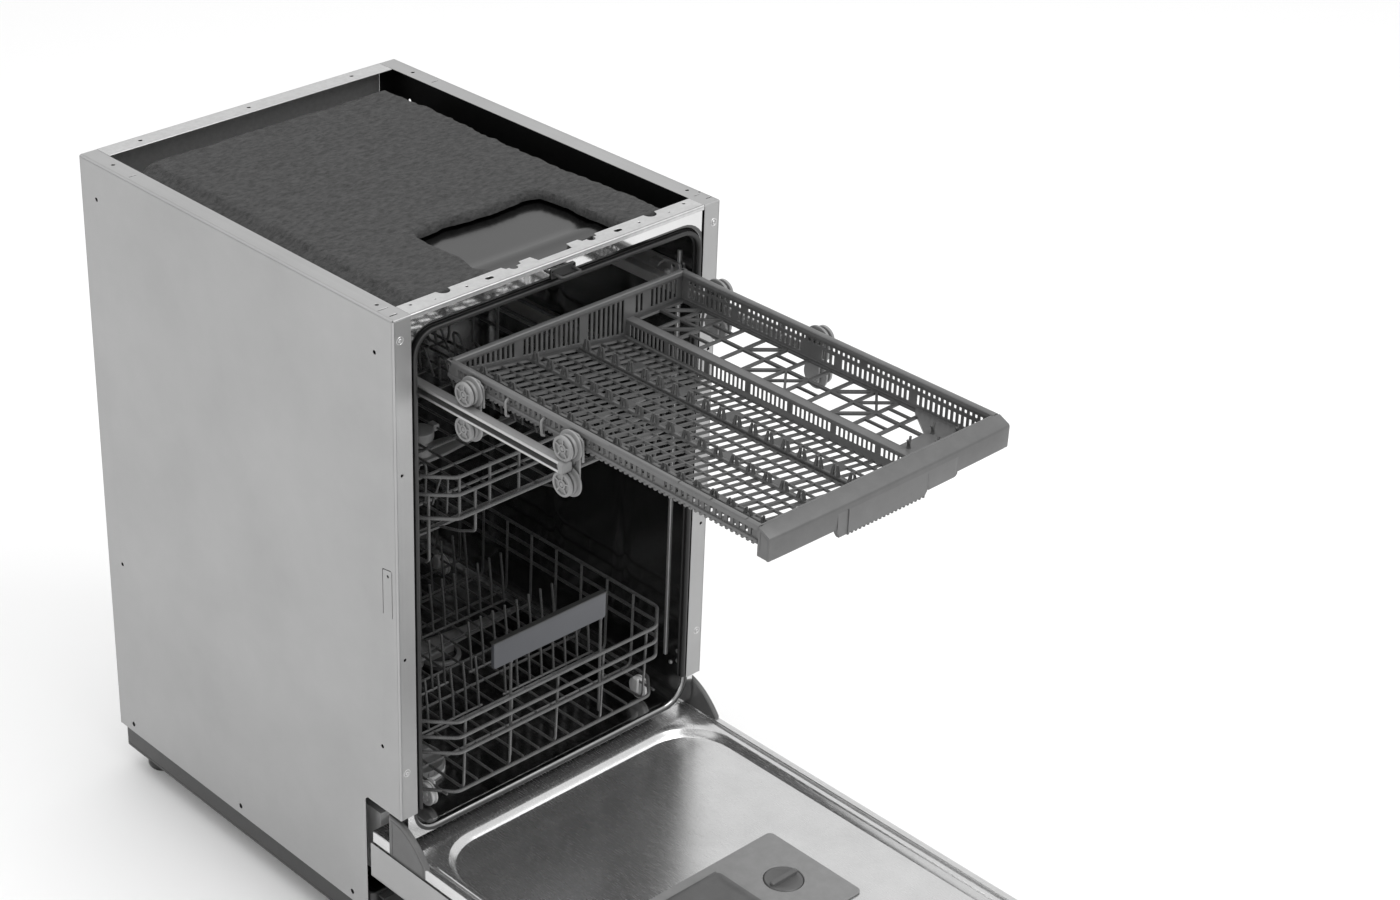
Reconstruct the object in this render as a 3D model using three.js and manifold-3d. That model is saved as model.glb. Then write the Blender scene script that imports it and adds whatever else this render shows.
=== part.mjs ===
// Slimline built-in dishwasher with three racks: door open flat, cutlery tray pulled out.
// Millimetres, +X to the right, +Y from the front into the machine, +Z up from the floor.
import * as THREE from 'three';
import Module from 'manifold-3d';
import { mergeVertices } from 'three/addons/utils/BufferGeometryUtils.js';

const wasm = await Module();
wasm.setup();

// Driving dimensions.
const WIDTH = 448;
const HEIGHT = 815;
const DEPTH = 550;
const SHEET = 1;
const GAP = 0.3;
const FLANGE = 23;
const DOOR_ZONE_TOP = 218;
const DOOR_ZONE_DEPTH = 62;
const PANEL_FOOT = 60;

const TUB_HALF = 199;
const TUB_FLOOR = 190;
const TUB_CEILING = 793;
const TUB_CORNER = 28;
const TUB_BACK = 498.5;
const SUMP_Y = 255;
const SUMP_HOLE = 75;
const SALT_CAP = { x: -122, y: 96, hole: 31 };
const INLET = { x: 150, z: 127 };
const FILTER_X = 42;

const PIVOT = { y: -4, z: 171 };
const DOOR_HALF = 223;
const DOOR_FACE = 2;
const DOOR_THICK = 60;
const DOOR_BELOW = 60;
const DOOR_ABOVE = 637;
const PAN_DEPTH = 10;
const HINGE_COVER = { inner: 214.5, outer: 221.4 };
const DISPENSER_Z = 285;
const RINSE_X = 66;

const TRAY_HALF = 163;
const TRAY_TOP = 757;
const TRAY_LEFT_LOW = 738;
const TRAY_TROUGH_LOW = 703;
const TRAY_RIGHT_LOW = 721;
const TRAY_WALL = 6;
const TRAY_FLOOR = 3;
const TRAY_REAR = -8;
const TRAY_FRONT = -437;
const TRAY_STEP_X = 80;
const HANDLE = { depth: 17, low: 726, shoulder: 750, grip: 717.5 };

const RAIL = { z: 722, height: 12, inner: 172, outer: 184, groove: 6, front: -197, rear: 228 };
const ROLLER = { r: 13, flange: 16, bore: 3.2, axle: 2.6, inner: 168, outer: 181 };
const ROLLER_Y = { rear: -54, front: -198 };
const ROLLER_RISE = RAIL.height / 2 + ROLLER.r + GAP;

const BASKET = { front: -4, bend: 146, half: 176, chamfer: 30, depth: 450 };
const WIRE = 4;
const ARM_Y = 235;

const half = WIDTH / 2;

// ---------------------------------------------------------------- solids

function solidOf(geometry) {
  const flat = geometry.index ? geometry.toNonIndexed() : geometry.clone();
  flat.deleteAttribute('normal');
  flat.deleteAttribute('uv');
  const merged = mergeVertices(flat, 1e-4);
  return new wasm.Manifold(new wasm.Mesh({
    numProp: 3,
    vertProperties: new Float32Array(merged.attributes.position.array),
    triVerts: new Uint32Array(merged.index.array),
  }));
}

function geometryOf(solid) {
  const mesh = solid.getMesh();
  const geometry = new THREE.BufferGeometry();
  geometry.setAttribute('position', new THREE.BufferAttribute(mesh.vertProperties, 3));
  geometry.setIndex(new THREE.BufferAttribute(mesh.triVerts, 1));
  geometry.computeVertexNormals();
  return geometry;
}

const unite = (first, ...rest) => rest.reduce((sum, part) => sum.add(part), first);
const cut = (first, ...rest) => rest.reduce((left, part) => left.subtract(part), first);

function box(x0, x1, y0, y1, z0, z1) {
  const size = [Math.abs(x1 - x0), Math.abs(y1 - y0), Math.abs(z1 - z0)];
  const geometry = new THREE.BoxGeometry(...size);
  geometry.translate((x0 + x1) / 2, (y0 + y1) / 2, (z0 + z1) / 2);
  return solidOf(geometry);
}

// A cylinder along an axis ('x', 'y' or 'z') between two places on it; u and v are the other two coordinates.
function rod(axis, from, to, u, v, radius, sides = 16) {
  const length = Math.abs(to - from);
  const middle = (from + to) / 2;
  const geometry = new THREE.CylinderGeometry(radius, radius, length, sides);
  if (axis === 'x') geometry.rotateZ(Math.PI / 2).translate(middle, u, v);
  if (axis === 'y') geometry.translate(u, middle, v);
  if (axis === 'z') geometry.rotateX(Math.PI / 2).translate(u, v, middle);
  return solidOf(geometry);
}

// A round body turned about a vertical axis from [radius, height] pairs that start and end on the axis.
function turned(x, y, profile, sides = 24) {
  const points = profile.map(([r, z]) => new THREE.Vector2(r, z));
  const geometry = new THREE.LatheGeometry(points, sides);
  geometry.rotateX(Math.PI / 2).translate(x, y, 0);
  return solidOf(geometry);
}

const FACING = {
  x: [[0, 1, 0], [0, 0, 1], [1, 0, 0]],
  y: [[1, 0, 0], [0, 0, 1], [0, -1, 0]],
  z: [[1, 0, 0], [0, 1, 0], [0, 0, 1]],
};

// An outline swept along an axis: the outline is (y, z) for x, (x, z) for y and (x, y) for z.
function prism(axis, outline, from, to, segments = 6) {
  const shape = outline instanceof THREE.Shape
    ? outline
    : new THREE.Shape(outline.map(([u, v]) => new THREE.Vector2(u, v)));
  const geometry = new THREE.ExtrudeGeometry(shape, {
    depth: Math.abs(to - from), bevelEnabled: false, curveSegments: segments,
  });
  const [u, v, w] = FACING[axis].map((direction) => new THREE.Vector3(...direction));
  geometry.applyMatrix4(new THREE.Matrix4().makeBasis(u, v, w));
  const start = axis === 'y' ? Math.max(from, to) : Math.min(from, to);
  geometry.translate(axis === 'x' ? start : 0, axis === 'y' ? start : 0, axis === 'z' ? start : 0);
  return solidOf(geometry);
}

function roundedRect(u0, u1, v0, v1, r) {
  const shape = new THREE.Shape();
  shape.moveTo(u0 + r, v0);
  shape.lineTo(u1 - r, v0);
  shape.absarc(u1 - r, v0 + r, r, -Math.PI / 2, 0);
  shape.lineTo(u1, v1 - r);
  shape.absarc(u1 - r, v1 - r, r, 0, Math.PI / 2);
  shape.lineTo(u0 + r, v1);
  shape.absarc(u0 + r, v1 - r, r, Math.PI / 2, Math.PI);
  shape.lineTo(u0, v0 + r);
  shape.absarc(u0 + r, v0 + r, r, Math.PI, 1.5 * Math.PI);
  return shape;
}

// A square wire between two points, long enough at each end to join the next one.
function wire(a, b, thick = WIRE) {
  const from = new THREE.Vector3(...a);
  const to = new THREE.Vector3(...b);
  const along = to.clone().sub(from);
  const geometry = new THREE.BoxGeometry(thick, thick, along.length() + thick);
  const turn = new THREE.Matrix4().lookAt(to, from, new THREE.Vector3(0.02, 0.03, 1).normalize());
  geometry.applyMatrix4(turn).translate(...from.add(to).multiplyScalar(0.5).toArray());
  return solidOf(geometry);
}

const wires = (points, thick) => points.slice(1).map((p, i) => wire(points[i], p, thick));

function piece(name, solid, [color, roughness, metalness]) {
  const material = new THREE.MeshStandardMaterial({ color, roughness, metalness });
  const mesh = new THREE.Mesh(geometryOf(solid), material);
  mesh.name = name;
  return mesh;
}

const FINISH = {
  panel: [0x8a8a8c, 0.45, 0.8],
  galvanised: [0xa2a3a4, 0.4, 0.8],
  stainless: [0xb8b8b8, 0.25, 1],
  rubber: [0x161616, 0.7, 0],
  blanket: [0x555658, 0.95, 0],
  blackPlastic: [0x1d1e20, 0.5, 0],
  darkPlastic: [0x3c3f42, 0.45, 0],
  greyPlastic: [0x9a9b9b, 0.45, 0],
  wire: [0x787b7e, 0.4, 0.2],
  handle: [0x585a61, 0.45, 0],
  whitePlastic: [0xd8d8d4, 0.4, 0],
  concrete: [0x7d7b76, 0.9, 0],
  glass: [0x0c0d10, 0.1, 0],
};

// ---------------------------------------------------------------- housing

// A folded sheet: the side face with flanges at the front, the top and the rear, cut back beside the door.
function sidePanel(side) {
  const block = box(side * half, side * (half - FLANGE), 0, DEPTH, PANEL_FOOT, HEIGHT);
  const inside = box(side * (half - SHEET), side * (half - 2 * FLANGE), SHEET, DEPTH - SHEET, 0, HEIGHT - SHEET);
  const doorZone = box(side * (half + 9), side * (half - 2 * FLANGE), -9, DOOR_ZONE_DEPTH, 0, DOOR_ZONE_TOP);
  return cut(block, inside, doorZone);
}

function rearPanel() {
  const back = box(-200.7, 200.7, DEPTH - SHEET, DEPTH, PANEL_FOOT, HEIGHT);
  const top = box(-200.7, 200.7, DEPTH - 26, DEPTH, HEIGHT - SHEET, HEIGHT);
  const hoseHole = rod('y', DEPTH - 5, DEPTH + 5, INLET.x, INLET.z, 9);
  return cut(unite(back, top), hoseHole);
}

function frontCrossbar() {
  const reach = half - FLANGE - GAP;
  const strip = box(-reach, reach, GAP, 24, HEIGHT - SHEET, HEIGHT);
  const lip = box(-reach, reach, GAP, GAP + 1.2, HEIGHT - 5.5, HEIGHT);
  return unite(strip, lip);
}

function kickPlate() {
  return unite(
    box(-215, 215, 46, 48, 14, 82),
    box(-215, 215, 46, 56, 80, 82),
    box(-215, 215, 46, 56, 14, 16),
  );
}

const BASE = { front: 57, back: 546, floor: 30, wall: 4, top: 84 };

function baseTray() {
  const outer = box(-221, 221, BASE.front, BASE.back, BASE.floor, BASE.top);
  const inner = box(-217, 217, BASE.front + BASE.wall, BASE.back - BASE.wall, BASE.floor + BASE.wall, 200);
  const ribs = [-70, 70].map((x) => box(x - 2, x + 2, BASE.front, BASE.back, BASE.floor, BASE.floor + 12));
  const drain = rod('y', BASE.back - 8, BASE.back + 8, -150, 62, 9);
  return cut(unite(cut(outer, inner), ...ribs), drain);
}

function foot(x, y) {
  return turned(x, y, [[0, 0], [19, 0], [21, 3], [21, 8], [9, 11], [9, BASE.floor - GAP], [0, BASE.floor - GAP]], 20);
}

function counterweight() {
  return box(-150, 150, 480, 538, BASE.floor + 12 + GAP, 100);
}

// ---------------------------------------------------------------- tub and water system

function tub() {
  const outer = roundedRect(
    -TUB_HALF - SHEET, TUB_HALF + SHEET, TUB_FLOOR - SHEET, TUB_CEILING + SHEET, TUB_CORNER + SHEET);
  const inner = roundedRect(-TUB_HALF, TUB_HALF, TUB_FLOOR, TUB_CEILING, TUB_CORNER);
  const shell = prism('y', outer, 2.5, TUB_BACK + SHEET);
  const flange = box(-213, 213, 2, 2 + SHEET, 184, 812.5);
  const hollow = prism('y', inner, -10, TUB_BACK);
  const sumpHole = rod('z', TUB_FLOOR - 10, TUB_FLOOR + 10, 0, SUMP_Y, SUMP_HOLE, 32);
  const saltHole = rod('z', TUB_FLOOR - 10, TUB_FLOOR + 10, SALT_CAP.x, SALT_CAP.y, SALT_CAP.hole, 20);
  return cut(unite(shell, flange), hollow, sumpHole, saltHole);
}

function tubGasket() {
  const grow = (inset) => roundedRect(
    -TUB_HALF + inset, TUB_HALF - inset, TUB_FLOOR + inset, TUB_CEILING - inset, TUB_CORNER - inset);
  const strip = cut(prism('y', grow(GAP), -1.2, 8), prism('y', grow(6), -5, 12));
  return cut(strip, box(-300, 300, -20, 20, 0, 222));
}

const BLANKET = { bottom: 795, top: 806, left: -209, right: 174, front: 30, back: 496 };

function insulationBlanket() {
  const sheet = box(-180, BLANKET.right, BLANKET.front, BLANKET.back, BLANKET.bottom, BLANKET.top);
  const cutOut = box(-68, 112, 0, 162, 780, 820);
  const arc = new THREE.Shape();
  const [cx, cz, inner, outer] = [-TUB_HALF + TUB_CORNER, TUB_CEILING - TUB_CORNER, 30.2, 38];
  arc.moveTo(cx, cz + outer);
  arc.absarc(cx, cz, outer, Math.PI / 2, Math.PI);
  arc.lineTo(cx - outer, 330);
  arc.lineTo(cx - inner, 330);
  arc.lineTo(cx - inner, cz);
  arc.absarc(cx, cz, inner, Math.PI, Math.PI / 2, true);
  const drape = prism('y', arc, BLANKET.front, BLANKET.back);
  const bridge = box(-182, -170, BLANKET.front, BLANKET.back, BLANKET.bottom, cz + outer);
  return unite(cut(sheet, cutOut), drape, cut(bridge, cutOut));
}

function sump() {
  return turned(0, SUMP_Y, [
    [0, 98], [50, 98], [68, 112], [75, 160], [92, 176], [92, TUB_FLOOR - SHEET - GAP],
    [76, TUB_FLOOR - SHEET - GAP], [71.5, 158], [64, 116], [48, 104], [0, 104],
  ], 24);
}

function filterPlate() {
  const top = TUB_FLOOR - 1;
  const disc = rod('z', top - 2, top, 0, SUMP_Y, 72, 32);
  const armPost = rod('z', top - 1, 195.7, 0, SUMP_Y, 12, 16);
  return unite(cut(disc, rod('z', top - 9, top + 9, FILTER_X, SUMP_Y, 25.4, 20)), armPost);
}

function filterCylinder() {
  const wall = turned(FILTER_X, SUMP_Y, [
    [0, 130], [23.5, 130], [23.5, 190.5], [26, 190.5], [26, 195], [0, 195],
  ], 20);
  const hollow = rod('z', 134, 200, FILTER_X, SUMP_Y, 20, 20);
  const bar = box(FILTER_X - 21, FILTER_X + 21, SUMP_Y - 3, SUMP_Y + 3, 178, 198);
  return unite(cut(wall, hollow), bar);
}

function circulationPump() {
  const body = rod('x', -186, -98, 300, 130, 40, 20);
  const motor = rod('x', -205, -180, 300, 130, 28, 20);
  const pipe = rod('x', -100, -74.5, 270, 136, 13, 12);
  const heater = rod('x', -178, -110, 372, 132, 30, 20);
  const link = box(-160, -130, 320, 360, 116, 142);
  return unite(body, motor, pipe, heater, link);
}

function drainPump() {
  return unite(
    rod('x', 76, 150, 300, 122, 24, 18),
    rod('x', 73.5, 80, 262, 122, 7, 12),
    box(76, 110, 256, 300, 114, 130),
  );
}

function softenerTank() {
  const tank = box(-200, -80, 66, 190, 96, 180);
  const neck = rod('z', 150, TUB_FLOOR + 4, SALT_CAP.x, SALT_CAP.y, 30.4, 20);
  const mouth = rod('z', 150, TUB_FLOOR + 20, SALT_CAP.x, SALT_CAP.y, 26, 20);
  return cut(unite(tank, neck), mouth);
}

function saltCap() {
  const cap = turned(SALT_CAP.x, SALT_CAP.y, [
    [0, 160], [25, 160], [25, TUB_FLOOR + 4.4], [30, TUB_FLOOR + 4.4], [30, TUB_FLOOR + 12], [0, TUB_FLOOR + 12],
  ], 20);
  const grip = box(SALT_CAP.x - 20, SALT_CAP.x + 20, SALT_CAP.y - 4, SALT_CAP.y + 4, TUB_FLOOR + 10, TUB_FLOOR + 22);
  return unite(cap, grip);
}

function airBreak() {
  return unite(
    box(-221.5, -210.5, 120, 440, 240, 320),
    box(-221.5, -210.5, 120, 250, 310, 640),
    rod('z', 90, 245, -215, 200, 4.5, 10),
  );
}

function inletValve() {
  return unite(
    box(INLET.x - 22, INLET.x + 22, 505, 540, INLET.z - 15, INLET.z + 15),
    rod('y', 500, 510, INLET.x, INLET.z, 12, 12),
    rod('z', INLET.z + 10, INLET.z + 29, INLET.x, 522, 9, 12),
    rod('y', 538, DEPTH - 0.5, INLET.x, INLET.z, 7, 12),
  );
}

function feedColumn() {
  return unite(
    box(-14, 14, 484, TUB_BACK - GAP, 196, 786),
    box(-14, 14, ARM_Y, TUB_BACK - GAP - 5, 780, 791),
    rod('z', 780, 786, 0, ARM_Y, 9, 14),
  );
}

function lockStrike() {
  return unite(
    box(-17, 17, 0.3, 1.7, 795, 806),
    box(-15, -11, -14, 1, 798, 802),
    box(11, 15, -14, 1, 798, 802),
    box(-15, 15, -14, -10.5, 798, 802),
  );
}

function sprayArm(x, y, z, reach, up) {
  const blade = prism('z', [
    [x - reach, y - 9], [x - 30, y - 20], [x + 30, y - 14], [x + reach, y - 7],
    [x + reach, y + 9], [x + 30, y + 20], [x - 30, y + 14], [x - reach, y + 7],
  ], z, z + 9);
  const hub = up ? rod('z', z + 8, z + 16, x, y, 14, 16) : rod('z', z - 8, z + 1, x, y, 14, 16);
  return unite(blade, hub);
}

// ---------------------------------------------------------------- rails, tray and its rollers

function railGuide(side) {
  const wall = side * (TUB_HALF - GAP);
  const plate = box(wall, side * 194, 28, 206, RAIL.z - 16, RAIL.z + 16);
  const pins = [46, 186].map((y) => rod('x', side * 196, side * (RAIL.inner + 4), y, RAIL.z, 2.4, 12));
  return unite(plate, ...pins);
}

function rail(side) {
  const low = RAIL.z - RAIL.height / 2;
  const bar = box(side * RAIL.inner, side * RAIL.outer, RAIL.front, RAIL.rear, low, low + RAIL.height);
  const groove = box(side * (RAIL.inner + 2), side * 200, -900, 900, RAIL.z - RAIL.groove / 2, RAIL.z + RAIL.groove / 2);
  return cut(bar, groove);
}

function trayBracket(side) {
  const inner = side * (TRAY_HALF + GAP);
  const plates = Object.values(ROLLER_Y).flatMap((y) => [
    box(inner, side * 166.5, y - 9, y + 9, RAIL.z - ROLLER_RISE - 8, TRAY_TOP - 2),
    rod('x', side * 165, side * (ROLLER.outer - 1), y, RAIL.z + ROLLER_RISE, ROLLER.axle, 12),
    rod('x', side * 165, side * (ROLLER.outer - 1), y, RAIL.z - ROLLER_RISE, ROLLER.axle, 12),
  ]);
  const spine = box(inner, side * 166.5, ROLLER_Y.front, ROLLER_Y.rear, 738, 746);
  return unite(spine, ...plates);
}

function roller(side, y, z) {
  const tread = rod('x', side * ROLLER.inner, side * ROLLER.outer, y, z, ROLLER.r, 16);
  const flange = rod('x', side * ROLLER.inner, side * (ROLLER.inner + 3), y, z, ROLLER.flange, 16);
  const bore = rod('x', side * 150, side * 210, y, z, ROLLER.bore, 10);
  return cut(unite(tread, flange), bore);
}

// The tray's floor slopes down from the left wall to a trough, then steps up to the right section.
function cutleryTray() {
  const [step, wall, skin] = [TRAY_STEP_X, TRAY_WALL, TRAY_FLOOR];
  const outside = [
    [-TRAY_HALF, TRAY_TOP], [-TRAY_HALF, TRAY_LEFT_LOW], [step - 10, TRAY_TROUGH_LOW], [step + 2, TRAY_TROUGH_LOW],
    [step + 2, TRAY_RIGHT_LOW], [TRAY_HALF, TRAY_RIGHT_LOW], [TRAY_HALF, TRAY_TOP],
  ];
  const inside = [
    [wall - TRAY_HALF, TRAY_TOP + 5], [wall - TRAY_HALF, TRAY_LEFT_LOW + skin], [step - 10, TRAY_TROUGH_LOW + skin],
    [step - 2, TRAY_TROUGH_LOW + skin], [step - 2, TRAY_RIGHT_LOW + skin], [TRAY_HALF - wall, TRAY_RIGHT_LOW + skin],
    [TRAY_HALF - wall, TRAY_TOP + 5],
  ];
  const lifted = TRAY_TROUGH_LOW + 7;
  const body = cut(
    prism('y', outside, TRAY_FRONT, TRAY_REAR),
    box(-200, 200, TRAY_FRONT - 5, TRAY_FRONT + 12, TRAY_TROUGH_LOW - 5, lifted),
  );
  const hollow = cut(
    prism('y', inside, TRAY_FRONT + wall, TRAY_REAR - wall),
    box(-200, 200, TRAY_FRONT - 5, TRAY_FRONT + 12 + wall, TRAY_TROUGH_LOW - 5, lifted + skin),
  );
  const rows = 7;
  const columns = [[-151, -101], [-93, -43], [-35, 15], [23, 67], [88, 116], [124, 151]];
  const cellY = (TRAY_REAR - TRAY_FRONT - 50) / rows;
  const openings = columns.flatMap(([x0, x1]) => Array.from({ length: rows }, (_, j) => {
    const y = TRAY_FRONT + 30 + j * cellY;
    return box(x0, x1, y + 3, y + cellY - 5, TRAY_TROUGH_LOW - 5, TRAY_LEFT_LOW + 5);
  }));
  return cut(body, hollow, ...openings);
}

function trayHandle() {
  const back = TRAY_FRONT - GAP;
  const front = back - HANDLE.depth;
  const section = [[back, HANDLE.low], [back, TRAY_TOP], [front, HANDLE.shoulder], [front, HANDLE.low]];
  const bar = prism('x', section, -TRAY_HALF, TRAY_HALF);
  const grip = box(-76, 46, front, back - 11, HANDLE.grip, HANDLE.low + 4);
  const finger = box(-60, 42, front + 5, back + 5, HANDLE.grip - 8, HANDLE.shoulder - 8);
  const hollow = cut(finger, box(-200, 200, back - 3, back + 9, 0, 900));
  return cut(unite(bar, grip), hollow);
}

// ---------------------------------------------------------------- wire baskets

// A ring of wire at one height, open corners chamfered at the front.
function basketRing(z) {
  const back = BASKET.front + BASKET.depth;
  const points = [
    [-BASKET.half, back, z], [-BASKET.half, BASKET.front + BASKET.chamfer, z],
    [-BASKET.bend, BASKET.front, z], [BASKET.bend, BASKET.front, z],
    [BASKET.half, BASKET.front + BASKET.chamfer, z], [BASKET.half, back, z],
  ];
  return [...wires(points), wire(points[5], points[0])];
}

function basketFloor(z, columns, rows) {
  const back = BASKET.front + BASKET.depth;
  const spread = (count, low, high) => Array.from({ length: count }, (_, i) => low + (high - low) * (i + 0.5) / count);
  return [
    ...spread(columns, -BASKET.half, BASKET.half).map((x) => wire([x, BASKET.front + 18, z], [x, back, z])),
    ...spread(rows, BASKET.front + 10, back).map((y) => wire([-BASKET.half + 2, y, z], [BASKET.half - 2, y, z])),
  ];
}

function basketPosts(low, high) {
  const back = BASKET.front + BASKET.depth;
  const side = [0.2, 0.8].map((t) => BASKET.front + BASKET.chamfer + t * (BASKET.depth - BASKET.chamfer));
  const fronts = [-90, 90];
  return [
    ...side.flatMap((y) => [-BASKET.half, BASKET.half].map((x) => wire([x, y, low], [x, y, high]))),
    ...fronts.flatMap((x) => [BASKET.front, back].map((y) => wire([x, y, low], [x, y, high]))),
  ];
}

function basket(levels, columns, rows) {
  const [low, high] = [levels[0], levels[levels.length - 1]];
  return unite(...levels.flatMap(basketRing), ...basketFloor(low, columns, rows), ...basketPosts(low, high));
}

function upperBasket() {
  const frame = basket([516, 565, 614], 4, 4);
  const holder = unite(
    box(-16, 16, ARM_Y - 4, ARM_Y + 4, 506, 519),
    rod('z', 499, 508, 0, ARM_Y, 9, 12),
    box(-4, 4, ARM_Y, 428, 512, 520),
  );
  return unite(frame, holder);
}

function lowerBasket() {
  const sill = wire([-158, 15, 218], [158, 15, 218]);
  return unite(basket([218, 266, 313], 4, 4), sill);
}

// A plate on two upright wires that stand on the basket's sill.
function basketHandle() {
  const foot = 218 + WIRE / 2 + GAP;
  return unite(
    box(-82, 82, 12.5, 17.5, 344.5, 378),
    ...[-56, 56].map((x) => box(x - 1.5, x + 1.5, 13.5, 16.5, foot, 350)),
  );
}

// ---------------------------------------------------------------- door, drawn shut, with the pivot at the origin

function doorLiner() {
  const face = DOOR_FACE;
  const edge = DOOR_HALF - 2;
  const [low, high] = [-DOOR_BELOW, DOOR_ABOVE - 40];
  const block = box(-edge, edge, face - 44, face, low, high);
  const inside = box(-edge + SHEET, edge - SHEET, face - 60, face - SHEET, low + SHEET, high - SHEET);
  const shell = cut(block, inside);
  const pan = (grow) => roundedRect(-200 - grow, 200 + grow, 10 - grow, high - 22 + grow, 62 + grow);
  const panBody = prism('y', pan(SHEET), face - PAN_DEPTH - SHEET, face - 0.5, 5);
  const well = prism('y', pan(0), face - PAN_DEPTH, face + 1, 5);
  const dispenserHole = box(-116.5, 116.5, face - 40, face + 5, DISPENSER_Z - 68.5, DISPENSER_Z + 68.5);
  const coverSlots = [-1, 1].map((side) => (
    box(side * (HINGE_COVER.inner - 0.5), side * (HINGE_COVER.outer + 5), face - 30, face + 5, -32, 35)));
  return cut(unite(shell, panBody), well, dispenserHole, ...coverSlots);
}

function doorOuter() {
  const back = DOOR_FACE - DOOR_THICK;
  const skin = box(-DOOR_HALF, DOOR_HALF, back, back + SHEET, -DOOR_BELOW, DOOR_ABOVE);
  const sides = [-1, 1].map((side) => (
    box(side * DOOR_HALF, side * (DOOR_HALF - SHEET), back, DOOR_FACE - 14, -DOOR_BELOW, DOOR_ABOVE - 42)));
  return unite(skin, ...sides);
}

const BUTTONS = { power: -180, start: 180, program: -120 };
const FASCIA_BACK = DOOR_FACE - DOOR_THICK + SHEET + GAP;

function controlFascia() {
  const block = box(-DOOR_HALF + 0.5, DOOR_HALF - 0.5, FASCIA_BACK, DOOR_FACE, DOOR_ABOVE - 39.5, DOOR_ABOVE);
  const below = box(-DOOR_HALF + 6, DOOR_HALF - 6, FASCIA_BACK + 4, DOOR_FACE - 4, DOOR_ABOVE - 50, DOOR_ABOVE - 4);
  const wells = Object.values(BUTTONS).map((x) => rod('z', DOOR_ABOVE - 6, DOOR_ABOVE + 5, x, -26, 8.4, 16));
  const window = box(-42, 42, -38, -14, DOOR_ABOVE - 6, DOOR_ABOVE + 5);
  const strikeSlot = box(-24, 24, DOOR_FACE - 20, DOOR_FACE + 5, DOOR_ABOVE - 24, DOOR_ABOVE - 5);
  return cut(block, below, ...wells, window, strikeSlot);
}

const button = (x) => unite(
  rod('z', DOOR_ABOVE - 5.6, DOOR_ABOVE, x, -26, 7.9, 16),
  rod('z', DOOR_ABOVE - 12, DOOR_ABOVE - 5, x, -26, 5, 12),
);

const displayWindow = () => box(-41.6, 41.6, -37.6, -14.4, DOOR_ABOVE - 5.4, DOOR_ABOVE);

function dispenserHousing() {
  const face = DOOR_FACE;
  const block = box(-112, 112, face - 34, face - 8, DISPENSER_Z - 64, DISPENSER_Z + 64);
  const rim = box(-116, 116, face - 10, face - 7, DISPENSER_Z - 68, DISPENSER_Z + 68);
  const detergent = box(-98, 18, face - 30, face, DISPENSER_Z - 50, DISPENSER_Z + 50);
  const rinse = rod('y', face - 30, face + 4, RINSE_X, DISPENSER_Z, 22, 20);
  return cut(unite(block, rim), detergent, rinse);
}

function detergentLid() {
  const plate = box(-100, 20, -4.6, -2.2, DISPENSER_Z - 54.6, DISPENSER_Z + 54);
  const catchTab = box(-46, -34, -14, -4, DISPENSER_Z + 44, DISPENSER_Z + 47);
  return unite(plate, catchTab);
}

function rinseCap() {
  return unite(
    rod('y', -20, -5, RINSE_X, DISPENSER_Z, 21.4, 20),
    box(RINSE_X - 20, RINSE_X + 20, -6, -1.5, DISPENSER_Z - 3, DISPENSER_Z + 3),
  );
}

function hingeCover(side) {
  const sector = new THREE.Shape();
  sector.moveTo(-18, -30);
  sector.lineTo(40, -30);
  sector.lineTo(38.5, -12);
  sector.quadraticCurveTo(31, 13.5, 4, 33);
  sector.lineTo(-18, 33);
  return prism('x', sector, side * HINGE_COVER.inner, side * HINGE_COVER.outer, 8);
}

// ---------------------------------------------------------------- assembly

function housing() {
  return [
    piece('base_tray', baseTray(), FINISH.blackPlastic),
    piece('left_side_panel', sidePanel(-1), FINISH.panel),
    piece('right_side_panel', sidePanel(1), FINISH.panel),
    piece('rear_panel', rearPanel(), FINISH.galvanised),
    piece('front_crossbar', frontCrossbar(), FINISH.galvanised),
    piece('kick_plate', kickPlate(), FINISH.blackPlastic),
    piece('left_front_foot', foot(-185, 90), FINISH.blackPlastic),
    piece('right_front_foot', foot(185, 90), FINISH.blackPlastic),
    piece('left_rear_foot', foot(-185, 515), FINISH.blackPlastic),
    piece('right_rear_foot', foot(185, 515), FINISH.blackPlastic),
    piece('counterweight', counterweight(), FINISH.concrete),
  ];
}

function wetParts() {
  return [
    piece('tub', tub(), FINISH.stainless),
    piece('tub_gasket', tubGasket(), FINISH.rubber),
    piece('insulation_blanket', insulationBlanket(), FINISH.blanket),
    piece('sump', sump(), FINISH.blackPlastic),
    piece('filter_plate', filterPlate(), FINISH.stainless),
    piece('filter_cylinder', filterCylinder(), FINISH.greyPlastic),
    piece('circulation_pump', circulationPump(), FINISH.blackPlastic),
    piece('drain_pump', drainPump(), FINISH.blackPlastic),
    piece('softener_tank', softenerTank(), FINISH.whitePlastic),
    piece('salt_cap', saltCap(), FINISH.greyPlastic),
    piece('air_break', airBreak(), FINISH.whitePlastic),
    piece('inlet_valve', inletValve(), FINISH.whitePlastic),
    piece('feed_column', feedColumn(), FINISH.greyPlastic),
    piece('lock_strike', lockStrike(), FINISH.stainless),
    piece('ceiling_spray_arm', sprayArm(0, ARM_Y, 763, 150, true), FINISH.greyPlastic),
    piece('upper_spray_arm', sprayArm(0, ARM_Y, 482, 160, true), FINISH.greyPlastic),
    piece('lower_spray_arm', sprayArm(0, SUMP_Y, 204, 165, false), FINISH.greyPlastic),
  ];
}

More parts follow.
